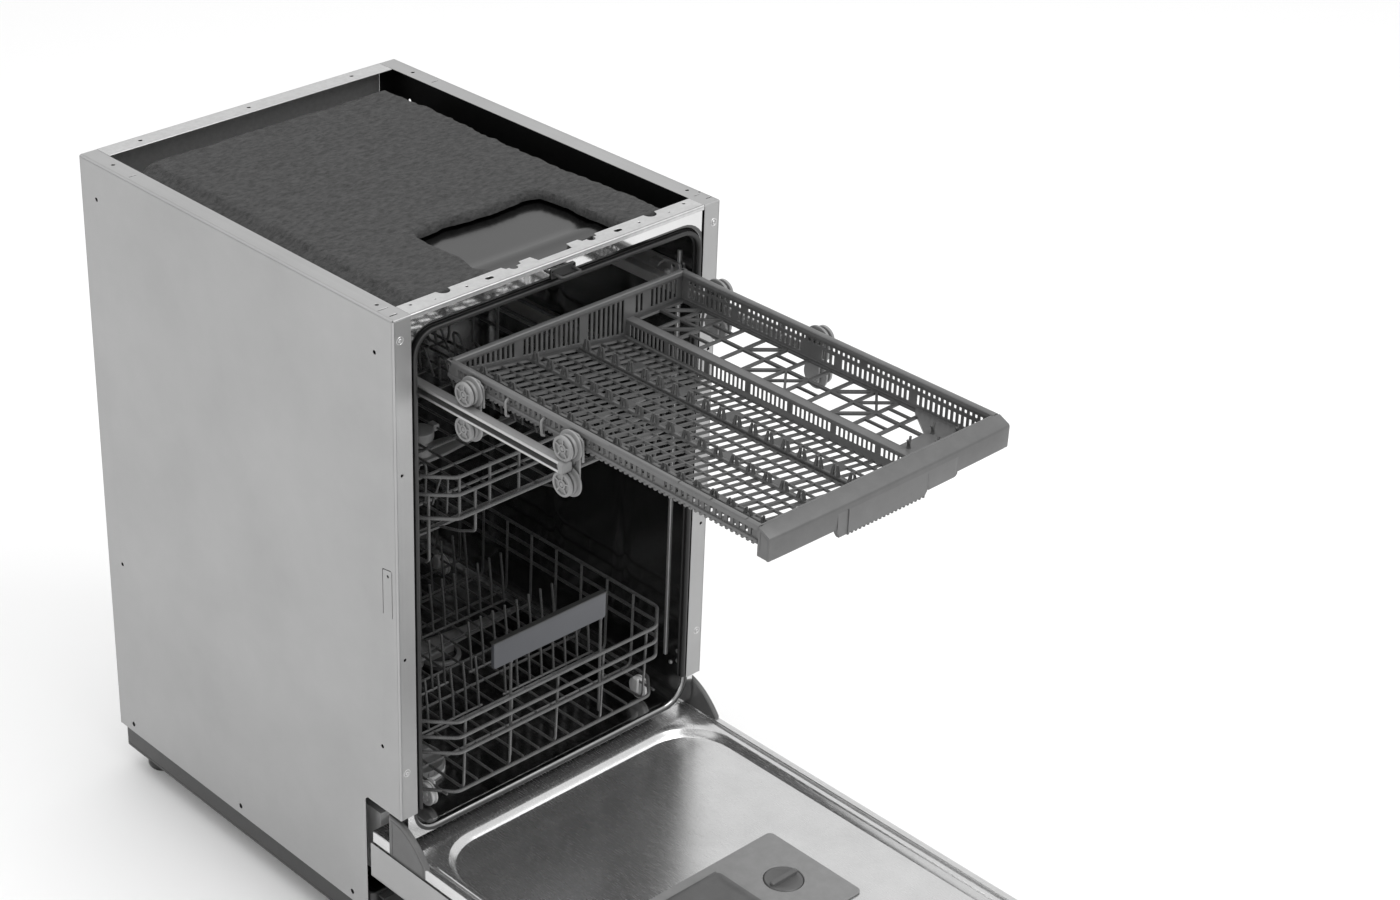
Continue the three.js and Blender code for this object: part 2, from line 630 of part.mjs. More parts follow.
function racks() {
  const sides = [['left', -1], ['right', 1]];
  const levels = [['upper', RAIL.z + ROLLER_RISE], ['lower', RAIL.z - ROLLER_RISE]];
  const rollers = sides.flatMap(([sideName, side]) => (
    Object.entries(ROLLER_Y).flatMap(([place, y]) => levels.map(([level, z]) => (
      piece(`${sideName}_${place}_${level}_roller`, roller(side, y, z), FINISH.greyPlastic))))));
  return [
    piece('cutlery_tray', cutleryTray(), FINISH.darkPlastic),
    piece('tray_handle', trayHandle(), FINISH.darkPlastic),
    ...sides.flatMap(([name, side]) => [
      piece(`${name}_tray_bracket`, trayBracket(side), FINISH.greyPlastic),
      piece(`${name}_rail`, rail(side), FINISH.stainless),
      piece(`${name}_rail_guide`, railGuide(side), FINISH.stainless),
    ]),
    ...rollers,
    piece('upper_basket', upperBasket(), FINISH.wire),
    piece('lower_basket', lowerBasket(), FINISH.wire),
    piece('lower_basket_handle', basketHandle(), FINISH.handle),
  ];
}

function door() {
  const leaf = new THREE.Group();
  leaf.position.set(0, PIVOT.y, PIVOT.z);
  leaf.rotation.x = Math.PI / 2;
  leaf.add(
    piece('door_outer_panel', doorOuter(), FINISH.galvanised),
    piece('door_inner_liner', doorLiner(), FINISH.stainless),
    piece('control_fascia', controlFascia(), FINISH.blackPlastic),
    piece('display_window', displayWindow(), FINISH.glass),
    ...Object.entries(BUTTONS).map(([name, x]) => piece(`${name}_button`, button(x), FINISH.darkPlastic)),
    piece('dispenser_housing', dispenserHousing(), FINISH.greyPlastic),
    piece('detergent_lid', detergentLid(), FINISH.darkPlastic),
    piece('rinse_aid_cap', rinseCap(), FINISH.darkPlastic),
    piece('left_hinge_cover', hingeCover(-1), FINISH.darkPlastic),
    piece('right_hinge_cover', hingeCover(1), FINISH.darkPlastic),
  );
  return leaf;
}

const dishwasher = new THREE.Group();
dishwasher.add(...housing(), ...wetParts(), ...racks(), door());
// The origin is on the floor, below the middle of the machine with its door open.
dishwasher.position.y = (DOOR_ABOVE - PIVOT.y - DEPTH) / 2;

export default dishwasher;
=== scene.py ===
"""Slimline built-in dishwasher with three racks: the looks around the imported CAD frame.

Lengths are millimetres in the machine's own frame (front plane at y = 0, floor at z = 0) until lift() turns
them into the frame's metres. Door pieces are drawn with the door shut, in the hinge's frame.
"""
import math
import random

import bmesh
import bpy
import numpy as np
from mathutils import Matrix, Vector, noise
from mathutils.geometry import delaunay_2d_cdt


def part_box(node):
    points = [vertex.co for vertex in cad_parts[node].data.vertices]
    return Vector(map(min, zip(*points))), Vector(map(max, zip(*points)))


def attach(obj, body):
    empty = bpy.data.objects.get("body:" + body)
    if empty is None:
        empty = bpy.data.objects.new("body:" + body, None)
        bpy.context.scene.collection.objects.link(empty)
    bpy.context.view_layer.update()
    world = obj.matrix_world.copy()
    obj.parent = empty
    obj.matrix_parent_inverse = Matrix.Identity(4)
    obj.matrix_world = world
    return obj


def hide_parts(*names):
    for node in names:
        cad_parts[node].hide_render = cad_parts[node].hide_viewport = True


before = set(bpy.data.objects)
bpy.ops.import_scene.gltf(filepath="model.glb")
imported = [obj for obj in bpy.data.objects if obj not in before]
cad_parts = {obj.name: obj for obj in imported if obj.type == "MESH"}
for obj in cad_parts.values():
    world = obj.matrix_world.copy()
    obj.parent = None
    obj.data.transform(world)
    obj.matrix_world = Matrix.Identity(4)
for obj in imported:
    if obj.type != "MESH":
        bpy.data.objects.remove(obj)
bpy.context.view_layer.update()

MM = 0.001
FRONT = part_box("left_side_panel")[0].y / MM
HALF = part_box("right_side_panel")[1].x / MM
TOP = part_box("right_side_panel")[1].z / MM
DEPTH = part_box("right_side_panel")[1].y / MM - FRONT
PIVOT = (-4.0, 171.0)  # y and z of the door's hinge line

# ------------------------------------------------------------------ geometry kit


def lift(p):
    """From millimetres in the machine's frame to the frame's metres."""
    return (p[0] * MM, (p[1] + FRONT) * MM, p[2] * MM)


def on_door(p):
    """From the shut door's own frame, pivot at the origin, to the machine's frame with the door open flat."""
    return (p[0], PIVOT[0] - p[2], PIVOT[1] + p[1])


AXES = {
    "x": lambda u, v, w: (w, u, v),
    "y": lambda u, v, w: (u, w, v),
    "z": lambda u, v, w: (u, v, w),
}


def turns(n, start=0.0):
    """n angles spaced evenly round a full turn."""
    return [start + 2 * math.pi * k / n for k in range(n)]


def circle(u, v, r, n=16, start=0.0, turn=2 * math.pi):
    last = 0 if abs(turn) >= 2 * math.pi - 1e-6 else 1
    return [(u + r * math.cos(start + turn * i / n), v + r * math.sin(start + turn * i / n))
            for i in range(n + last)]


def rect(u0, u1, v0, v1, r=0.0, n=4):
    """A rectangle with rounded corners, counter-clockwise."""
    u0, u1, v0, v1 = min(u0, u1), max(u0, u1), min(v0, v1), max(v0, v1)
    if r <= 0:
        return [(u0, v0), (u1, v0), (u1, v1), (u0, v1)]
    r = min(r, (u1 - u0) / 2 - 1e-3, (v1 - v0) / 2 - 1e-3)
    corners = [(u1 - r, v0 + r, -90), (u1 - r, v1 - r, 0), (u0 + r, v1 - r, 90), (u0 + r, v0 + r, 180)]
    out = []
    for cu, cv, a in corners:
        for i in range(n + 1):
            t = math.radians(a + 90 * i / n)
            out.append((cu + r * math.cos(t), cv + r * math.sin(t)))
    return out


def area(loop):
    """Positive when the loop runs counter-clockwise."""
    a = np.array(loop)
    b = np.roll(a, -1, 0)
    return float((a[:, 0] * b[:, 1] - b[:, 0] * a[:, 1]).sum() / 2)


def inset(loop, d):
    """The loop moved to its left by d, which is into the material for a counter-clockwise outline."""
    a = np.array(loop, float)
    e1 = a - np.roll(a, 1, 0)
    e2 = np.roll(a, -1, 0) - a
    n1 = np.stack([-e1[:, 1], e1[:, 0]], 1) / np.maximum(np.linalg.norm(e1, axis=1), 1e-9)[:, None]
    n2 = np.stack([-e2[:, 1], e2[:, 0]], 1) / np.maximum(np.linalg.norm(e2, axis=1), 1e-9)[:, None]
    m = n1 + n2
    k = np.maximum((m * m).sum(1), 0.35)
    return [tuple(p) for p in a + m * (2 * d / k)[:, None]]


def rounded(points, r, n=4, closed=False):
    """A path with its corners rounded to radius r."""
    pts = [Vector(p) for p in points]
    out = []
    count = len(pts)
    for i, p in enumerate(pts):
        if not closed and i in (0, count - 1):
            out.append(p.copy())
            continue
        a = pts[i - 1] - p
        b = pts[(i + 1) % count] - p
        angle = a.angle(b, math.pi)
        if angle > math.pi - 0.02:
            out.append(p.copy())
            continue
        reach = min(r / math.tan(angle / 2), a.length * 0.48, b.length * 0.48)
        start, end = p + a.normalized() * reach, p + b.normalized() * reach
        for k in range(n + 1):
            t = k / n
            out.append(start * (1 - t) ** 2 + p * (2 * t * (1 - t)) + end * t**2)
    return out


class Build:
    """Closed pieces of surface collected into one mesh."""

    def __init__(self, place=None):
        self.verts, self.faces, self.place = [], [], place

    def add(self, verts, faces):
        n = len(self.verts)
        self.verts += [tuple(v) for v in verts]
        self.faces += [tuple(n + i for i in f) for f in faces]
        return self

    def block(self, x0, x1, y0, y1, z0, z1, r=0.4):
        """A box with chamfered edges."""
        lo = [min(x0, x1), min(y0, y1), min(z0, z1)]
        hi = [max(x0, x1), max(y0, y1), max(z0, z1)]
        r = min(r, *[(h - l) * 0.45 for l, h in zip(lo, hi)])
        verts, index = [], {}
        for s in [(a, b, c) for a in (0, 1) for b in (0, 1) for c in (0, 1)]:
            for axis in range(3):
                p = [(hi if s[k] else lo)[k] + (0 if k == axis else (-r if s[k] else r)) for k in range(3)]
                index[s, axis] = len(verts)
                verts.append(p)
        faces = []
        for axis in range(3):
            u, v = (axis + 1) % 3, (axis + 2) % 3
            for side in (0, 1):
                ring = []
                for a, b in ((0, 0), (1, 0), (1, 1), (0, 1)):
                    s = [0, 0, 0]
                    s[axis], s[u], s[v] = side, a, b
                    ring.append(index[tuple(s), axis])
                faces.append(ring)
            for a in (0, 1):
                for b in (0, 1):
                    s0, s1 = [0, 0, 0], [0, 0, 0]
                    s0[axis], s1[axis] = 0, 1
                    s0[u] = s1[u] = a
                    s0[v] = s1[v] = b
                    faces.append([index[tuple(s0), u], index[tuple(s1), u], index[tuple(s1), v],
                                  index[tuple(s0), v]])
        for s in [(a, b, c) for a in (0, 1) for b in (0, 1) for c in (0, 1)]:
            faces.append([index[s, 0], index[s, 1], index[s, 2]])
        return self.add(verts, faces)

    def slab(self, axis, w0, w1, outline, holes=(), chamfer=0.3):
        """A plate with holes, its outline in the two other axes, with chamfered edges on both faces."""
        to = AXES[axis]
        loops = [outline if area(outline) > 0 else outline[::-1]]
        loops += [h[::-1] if area(h) > 0 else h for h in holes]
        c = min(chamfer, abs(w1 - w0) * 0.45)
        lo, hi = min(w0, w1), max(w0, w1)
        verts, faces, starts = [], [], []
        for loop in loops:
            n = len(loop)
            small = inset(loop, c) if c > 0 else loop
            starts.append((len(verts), n))
            for ring, w in ((small, lo), (loop, lo + c), (loop, hi - c), (small, hi)):
                verts += [to(u, v, w) for u, v in ring]
            s = starts[-1][0]
            for k in range(3):
                for i in range(n):
                    j = (i + 1) % n
                    faces.append((s + k * n + i, s + k * n + j, s + (k + 1) * n + j, s + (k + 1) * n + i))
        flat, edges, back = [], [], []
        for (s, n), loop in zip(starts, loops):
            small = inset(loop, c) if c > 0 else loop
            m = len(flat)
            flat += [Vector(p) for p in small]
            back += [s + i for i in range(n)]
            edges += [(m + i, m + (i + 1) % n) for i in range(n)]
        m = len(flat)
        found, _, tris, origin, _, _ = delaunay_2d_cdt(flat, edges, [], 0, 1e-5)
        segments = np.array([(*flat[a], *flat[b]) for a, b in edges])
        where = []
        for o in origin:
            known = [i for i in o if i < m]
            where.append(back[known[0]] if known else None)
        added = {}
        for t in tris:
            p = (found[t[0]] + found[t[1]] + found[t[2]]) / 3
            x, y = p.x, p.y
            y0, y1 = segments[:, 1], segments[:, 3]
            with np.errstate(divide="ignore", invalid="ignore"):
                xs = segments[:, 0] + (y - y0) * (segments[:, 2] - segments[:, 0]) / (y1 - y0)
            if int((((y0 > y) != (y1 > y)) & (xs > x)).sum()) % 2 == 0:
                continue
            low, high = [], []
            for i in t:
                if where[i] is None:
                    if i not in added:
                        added[i] = len(verts)
                        verts.append(to(found[i].x, found[i].y, lo))
                        verts.append(to(found[i].x, found[i].y, hi))
                    low.append(added[i])
                    high.append(added[i] + 1)
                else:
                    s, n = next((s, n) for s, n in starts if s <= where[i] < s + n)
                    low.append(where[i])
                    high.append(where[i] + 3 * n)
            faces.append(tuple(low[::-1]))
            faces.append(tuple(high))
        return self.add(verts, faces)

    def loft(self, rings, caps=True, closed=False):
        """Faces between rings of equally many points."""
        n = len(rings[0])
        verts = [p for ring in rings for p in ring]
        faces = []
        for k in range(len(rings) - (0 if closed else 1)):
            a, b = k * n, ((k + 1) % len(rings)) * n
            for i in range(n):
                j = (i + 1) % n
                faces.append((a + i, a + j, b + j, b + i))
        if caps and not closed:
            faces += [tuple(range(n))[::-1], tuple(range((len(rings) - 1) * n, len(rings) * n))]
        return self.add(verts, faces)

    def tube(self, points, r, sides=8, bend=0.0, closed=False, steps=4):
        """A round wire along a path, its bends rounded and its ends domed."""
        path = rounded(points, bend, steps, closed) if bend else [Vector(p) for p in points]
        n = len(path)
        tangents = []
        for i in range(n):
            a = path[i - 1] if closed or i else path[0]
            b = path[(i + 1) % n] if closed or i < n - 1 else path[-1]
            tangents.append((b - a).normalized())
        side = tangents[0].orthogonal().normalized()
        rings = []
        for p, t in zip(path, tangents):
            side = (side - t * side.dot(t)).normalized()
            up = t.cross(side)
            rings.append([p + (side * math.cos(a) + up * math.sin(a)) * r
                          for a in turns(sides)])
        if not closed:
            def dome(ring, centre, out):
                return [centre + (q - centre) * 0.55 + out * r * 0.45 for q in ring]
            first, last = dome(rings[0], path[0], -tangents[0]), dome(rings[-1], path[-1], tangents[-1])
            rings = [first, *rings, last]
        return self.loft(rings, closed=closed)

    def sweep(self, path, section, up, closed=False):
        """A section of (side, up) offsets along a flat path, with mitred corners."""
        up = Vector(up).normalized()
        pts = [Vector(p) for p in path]
        n = len(pts)
        rings = []
        for i, p in enumerate(pts):
            a = (p - pts[i - 1]).normalized() if closed or i else None
            b = (pts[(i + 1) % n] - p).normalized() if closed or i < n - 1 else None
            a, b = a or b, b or a
            s1, s2 = a.cross(up), b.cross(up)
            m = s1 + s2
            m = m * (2 / max(m.dot(m), 0.5))
            rings.append([p + m * u + up * v for u, v in section])
        return self.loft(rings, closed=closed)

    def lathe(self, axis, u, v, profile, sides=24, ring=False):
        """A profile of (radius, place along the axis) turned about the line through (u, v)."""
        to = AXES[axis]
        rings = [[to(u + max(r, 1e-4) * math.cos(a), v + max(r, 1e-4) * math.sin(a), w)
                  for a in turns(sides)] for r, w in profile]
        return self.loft(rings, closed=ring)

    def piece(self, name, finish, body, replaces=(), slot=None, angle=32):
        """The mesh as an object that rides on a body, in place of the named CAD nodes."""
        mesh = bpy.data.meshes.new(name)
        verts = [self.place(v) for v in self.verts] if self.place else self.verts
        mesh.from_pydata([lift(v) for v in verts], [], self.faces)
        bm = bmesh.new()
        bm.from_mesh(mesh)
        bmesh.ops.remove_doubles(bm, verts=bm.verts, dist=2e-6)
        bmesh.ops.dissolve_degenerate(bm, edges=bm.edges, dist=1e-6)
        bmesh.ops.recalc_face_normals(bm, faces=bm.faces)
        bm.to_mesh(mesh)
        bm.free()
        mesh.polygons.foreach_set("use_smooth", [True] * len(mesh.polygons))
        mesh.set_sharp_from_angle(angle=math.radians(angle))
        mesh.materials.append(MATERIALS[finish])
        o = bpy.data.objects.new(name, mesh)
        bpy.context.scene.collection.objects.link(o)
        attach(o, body)
        if replaces:
            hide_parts(*replaces)
        return o


# ------------------------------------------------------------------ materials

MATERIALS, SLOTS = {}, {}


def material(name, slot, light, dark, rough, metal=0.0, mottle=60.0, grain=900.0, depth=0.02, spread=0.06,
             stretch=(1, 1, 1), edge=0.0, coat=0.0, fine=None, specular=0.5, sheen=0.0, mottle_detail=5.0,
             contrast=1.0, smudge=0.0, streaky=False):
    """A node material: mottled colour, varied roughness, stretched grain as bump, and edges made paler where
    the mesh is pointy.
    """
    m = bpy.data.materials.new(name)
    m.use_nodes = True
    nodes, links = m.node_tree.nodes, m.node_tree.links
    shader = nodes["Principled BSDF"]
    shader.inputs["Metallic"].default_value = metal
    shader.inputs["Coat Weight"].default_value = coat
    shader.inputs["Specular IOR Level"].default_value = specular
    shader.inputs["Sheen Weight"].default_value = sheen
    place = nodes.new("ShaderNodeTexCoord")
    mapping = nodes.new("ShaderNodeMapping")
    mapping.inputs["Scale"].default_value = stretch
    links.new(place.outputs["Object"], mapping.inputs["Vector"])

    def cloud(scale, detail, vector):
        n = nodes.new("ShaderNodeTexNoise")
        n.inputs["Scale"].default_value = scale
        n.inputs["Detail"].default_value = detail
        n.inputs["Roughness"].default_value = 0.62
        links.new(vector, n.inputs["Vector"])
        return n.outputs["Fac"]

    def remap(value, low, high, a=0.3, b=0.7):
        r = nodes.new("ShaderNodeMapRange")
        r.inputs["From Min"].default_value, r.inputs["From Max"].default_value = a, b
        r.inputs["To Min"].default_value, r.inputs["To Max"].default_value = low, high
        links.new(value, r.inputs["Value"])
        return r.outputs["Result"]

    broad = cloud(mottle, mottle_detail,
                  (mapping if streaky else place).outputs["Vector" if streaky else "Object"])
    small = cloud(grain, 3.0, mapping.outputs["Vector"])
    ramp = nodes.new("ShaderNodeMix")
    ramp.data_type = "RGBA"
    ramp.inputs["A"].default_value = (*dark, 1)
    ramp.inputs["B"].default_value = (*light, 1)
    links.new(remap(broad, 0.5 - 0.5 * contrast, 0.5 + 0.5 * contrast), ramp.inputs["Factor"])
    colour = ramp.outputs["Result"]
    # lightens the colour where the mesh is pointy, at convex edges
    if edge:
        geometry = nodes.new("ShaderNodeNewGeometry")
        paler_edges = nodes.new("ShaderNodeMix")
        paler_edges.data_type = "RGBA"
        paler_edges.blend_type = "ADD"
        paler_edges.inputs["B"].default_value = (edge, edge, edge, 1)
        links.new(remap(geometry.outputs["Pointiness"], 0, 1, 0.53, 0.62), paler_edges.inputs["Factor"])
        links.new(colour, paler_edges.inputs["A"])
        colour = paler_edges.outputs["Result"]
    links.new(colour, shader.inputs["Base Color"])
    gloss = remap(small, rough - spread, rough + spread)
    if smudge:
        sum_ = nodes.new("ShaderNodeMath")
        sum_.operation = "ADD"
        links.new(gloss, sum_.inputs[0])
        links.new(remap(cloud(18.0, 4.0, place.outputs["Object"]), 0, smudge), sum_.inputs[1])
        gloss = sum_.outputs[0]
    links.new(gloss, shader.inputs["Roughness"])
    bump = nodes.new("ShaderNodeBump")
    bump.inputs["Distance"].default_value = depth * MM
    bump.inputs["Strength"].default_value = 1.0
    links.new(small, bump.inputs["Height"])
    if fine:
        second = nodes.new("ShaderNodeBump")
        second.inputs["Distance"].default_value = fine[1] * MM
        second.inputs["Strength"].default_value = 1.0
        links.new(cloud(fine[0], 6.0, place.outputs["Object"]), second.inputs["Height"])
        links.new(bump.outputs["Normal"], second.inputs["Normal"])
        bump = second
    links.new(bump.outputs["Normal"], shader.inputs["Normal"])
    MATERIALS[name], SLOTS[name] = m, slot
    return m


def grey(s):
    """A neutral from its sRGB value, 0 to 255."""
    c = s / 255
    c = c / 12.92 if c <= 0.04045 else ((c + 0.055) / 1.055) ** 2.4
    return (c, c, c)


material("panel_paint", "side_panel_steel", grey(164), grey(156), 0.36, metal=0.6, mottle=8, grain=1400,
         depth=0.012, edge=0.04)


def darken_one_side(name, shade, facing):
    """Darkens the faces that look away from the tub's middle (facing 1) or towards it (facing -1) to the
    given shade.
    """
    tree = MATERIALS[name].node_tree
    nodes, links = tree.nodes, tree.links
    shader = nodes["Principled BSDF"]
    place = nodes.new("ShaderNodeTexCoord")
    from_middle = nodes.new("ShaderNodeVectorMath")
    from_middle.operation = "SUBTRACT"
    from_middle.inputs[1].default_value = lift((0, 250, 490))
    links.new(place.outputs["Object"], from_middle.inputs[0])
    turned = nodes.new("ShaderNodeVectorMath")
    turned.operation = "DOT_PRODUCT"
    links.new(from_middle.outputs["Vector"], turned.inputs[0])
    links.new(place.outputs["Normal"], turned.inputs[1])
    darkened = nodes.new("ShaderNodeMapRange")
    darkened.inputs["From Min"].default_value = facing * 0.03
    darkened.inputs["From Max"].default_value = facing * 0.1
    links.new(turned.outputs["Value"], darkened.inputs["Value"])
    both = nodes.new("ShaderNodeMix")
    both.data_type = "RGBA"
    links.new(darkened.outputs["Result"], both.inputs["Factor"])
    links.new(shader.inputs["Base Color"].links[0].from_socket, both.inputs["A"])
    both.inputs["B"].default_value = (*shade, 1)
    links.new(both.outputs["Result"], shader.inputs["Base Color"])


# painted shade: the side panels' inner faces, which stand in shade, are painted near black
darken_one_side("panel_paint", grey(38), -1)
material("zinc_sheet", "galvanised_steel", grey(196), grey(182), 0.36, metal=0.75, mottle=160, grain=700,
         depth=0.01, edge=0.05)
# painted shade: the tub's stainless is given a darker base than the flange's and the door liner's, standing
# in for the shade inside the tub
material("shaded_tub_steel", "stainless_steel", grey(158), grey(148), 0.14, metal=1.0, mottle=12, grain=500,
         depth=0.006, spread=0.03, stretch=(1, 1, 6), smudge=0.05)
darken_one_side("shaded_tub_steel", grey(84), 1)
material("flange_steel", "stainless_steel", grey(214), grey(206), 0.07, metal=1.0, mottle=20, grain=300,
         depth=0.004, spread=0.02)
material("bright_steel", "stainless_steel", grey(214), grey(204), 0.24, metal=0.9, mottle=20, grain=900,
         depth=0.006, stretch=(1, 0.08, 1))
material("rail_steel", "stainless_steel", grey(190), grey(178), 0.4, metal=0.8, mottle=30, grain=900,
         depth=0.005, stretch=(1, 0.03, 1))
material("rubber", "rubber_seal", grey(34), grey(26), 0.5, mottle=90, grain=1600, depth=0.02)
material("felt", "bitumen_felt", grey(88), grey(34), 0.95, mottle=230, grain=520, depth=1.8, spread=0.03,
         stretch=(0.55, 1, 1), fine=(1500.0, 0.5), specular=0.1, sheen=0.04, mottle_detail=12, contrast=0.55,
         streaky=True)
material("black_plastic", "black_plastic", grey(44), grey(36), 0.42, mottle=70, grain=1500, depth=0.03,
         edge=0.015)
material("dark_plastic", "dark_plastic", grey(86), grey(78), 0.36, mottle=60, grain=1700, depth=0.02,
         edge=0.02)
# painted shade: the same moulding as dark_plastic, made darker for the tray's floor and combs where shade
# falls among the ribs
material("shaded_grid_plastic", "dark_plastic", grey(66), grey(56), 0.38, mottle=60, grain=1700, depth=0.02,
         edge=0.03)
material("grey_plastic", "grey_plastic", grey(128), grey(118), 0.4, mottle=60, grain=1500, depth=0.015,
         edge=0.03)
material("pale_plastic", "grey_plastic", grey(206), grey(194), 0.3, mottle=60, grain=1500, depth=0.015,
         edge=0.03)
material("white_plastic", "white_plastic", grey(226), grey(216), 0.4, mottle=50, grain=1300, depth=0.015)
material("wire_coat", "coated_wire", grey(98), grey(84), 0.3, metal=0.15, mottle=80, grain=900, depth=0.02,
         spread=0.08)
material("handle_plastic", "handle_plastic", (0.072, 0.075, 0.084), (0.064, 0.067, 0.076), 0.42, mottle=50,
         grain=1700, depth=0.02, edge=0.02)
material("cast_block", "weight_iron", grey(130), grey(112), 0.85, mottle=90, grain=500, depth=0.3)
material("window_glass", "display_glass", grey(16), grey(12), 0.08, mottle=30, grain=600, depth=0.002,
         spread=0.02, coat=0.6)

# ------------------------------------------------------------------ cabinet


def bend(build, corner, a, b, r, t, axis, w0, w1, leg=0.6, n=5):
    """A strip of sheet folded round a corner: a and b are unit steps away from it along its two legs."""
    outer, inner = [], []
    to = AXES[axis]
    for k in range(n + 1):
        f = k / n * math.pi / 2
        ca, cb = 1 - math.sin(f), 1 - math.cos(f)
        outer.append((ca * r, cb * r))
    outer = [(r + leg, 0)] + outer + [(0, r + leg)]
    for u, v in outer:
        pu = max(u, t) if u < r else u
        pv = max(v, t) if v < r else v
        if u < r + leg and v < r + leg and u <= r and v <= r:
            d = Vector((u - r, v - r))
            d = d * ((r - t) / max(d.length, 1e-6))
            pu, pv = r + d.x, r + d.y
        elif v == 0:
            pv = t
        elif u == 0:
            pu = t
        inner.append((pu, pv))
    loop = outer + inner[::-1]
    flat = [(corner[0] + a[0] * u + b[0] * v, corner[1] + a[1] * u + b[1] * v) for u, v in loop]
    build.loft([[to(u, v, w0) for u, v in flat], [to(u, v, w1) for u, v in flat]])


FLANGE = 23.0
ZONE = (62.0, 218.0)  # the side panels are cut back beside the open door up to here
FOOT_Z = 60.0
TUB = {"half": 199.0, "low": 190.0, "high": 793.0, "r": 28.0, "back": 498.5}
# upright axes: the sump's and its filter cup's, the salt cap's, and the water feed's under the roof
SUMP, FILTER, SALT, FEED = (0, 255), (42, 255), (-122, 96), (0, 235)


def slot_loop(points, width):
    """The outline of a thin slit along a path in a plane."""
    left, right = [], []
    pts = [Vector(p) for p in points]
    for i, p in enumerate(pts):
        a = (p - pts[i - 1]).normalized() if i else (pts[1] - p).normalized()
        b = (pts[i + 1] - p).normalized() if i < len(pts) - 1 else a
        n = Vector((-(a.y + b.y), a.x + b.x))
        n = n * (width / 2 * 2 / max(n.dot(n), 0.5))
        left.append(tuple(p + n))
        right.append(tuple(p - n))
    return left + right[::-1]


def side_panel(name, side):
    b = Build()
    r = 1.8
    outline = [(ZONE[0], FOOT_Z), (DEPTH - r, FOOT_Z), (DEPTH - r, TOP - r), (r, TOP - r), (r, ZONE[1]),
               (ZONE[0] - 4, ZONE[1]), (ZONE[0], ZONE[1] - 4)]
    holes = [circle(y, z, 2.4, 14) for y in (30, 520) for z in (770, 520 if side > 0 else 300)]
    holes += [circle(z, 72, 3, 14) for z in (90, 300, 520)]
    tab = slot_loop([(24, 470), (24, 523), (22.5, 524.4), (10.5, 526.2), (9, 525), (9, 470)], 0.9)
    holes += [tab, circle(15.5, 518, 1.7, 12)]
    b.slab("x", side * (HALF - 1), side * HALF, outline, holes)
    for y, d in ((0, 1), (DEPTH, -1)):
        low = ZONE[1] if y == 0 else FOOT_Z
        bend(b, (side * HALF, y), (-side, 0), (0, d), r, 1, "z", low, TOP - 1.7)
        face = rect(side * (HALF - r), side * (HALF - FLANGE), low, TOP - 1.7, 0.6, 2)
        cuts = []
        if y == 0:
            cuts = [circle(side * 215, z, 1.9, 12) for z in (640, 420)]
        b.slab("y", y, y + d, face, cuts)
    bend(b, (side * HALF, TOP), (-side, 0), (0, -1), r, 1, "y", r, DEPTH - r)
    top = [(side * (HALF - FLANGE), DEPTH - 1.2), (side * (HALF - r), DEPTH - 1.2), (side * (HALF - r), 1.4),
           (side * (HALF - FLANGE), 1.4)]
    if side > 0:
        cuts = [circle(214.6, 41, 2.2, 12), circle(221, 29, 1.3, 10), rect(214, 222, 11.2, 12.6, 0.6, 2),
                rect(209, 217, 24.2, 25.2, 0.4, 2)]
    else:
        cuts = [circle(-212, 39.5, 2.2, 12), rect(-220, -207, 27.4, 28.6, 0.5, 2),
                rect(-219, -209, 10.2, 12.2, 0.8, 2)]
    cuts += [circle(side * 212, 500, 2.4, 12), rect(side * 208, side * 218, 460, 461.2, 0.5, 2)]
    b.slab("z", TOP - 1, TOP, top, cuts)
    bend(b, (0, TOP), (1, 0), (0, -1), 1.4, 1, "x", side * (HALF - 1.4), side * (HALF - FLANGE), leg=0.4)
    b.piece(name.replace("panel", "sheet"), "panel_paint", "cabinet", [name])


def screw(build, axis, u, v, w, out, r=3.2):
    """A domed screw head with a round recess, its seat at w and facing out."""
    build.lathe(axis, u, v, [(0, w), (r, w), (r, w + out * 0.7), (r * 0.8, w + out * 1.2),
                             (r * 0.4, w + out * 1.35), (r * 0.36, w + out * 0.8), (0, w + out * 0.8)], 16)


def flange_rings():
    """The round pressings in the front flanges, each with a screw in it."""
    b = Build()
    for x, z in ((-215, 791), (215, 791), (215, 277), (-215, 277)):
        b.lathe("y", x, z, [(3.4, -0.02), (3.7, -0.35), (4.4, -0.35), (4.7, -0.02)], 24, ring=True)
        screw(b, "y", x, z, 0.3, -1, 2.5)
    b.piece("flange_screws", "zinc_sheet", "cabinet")


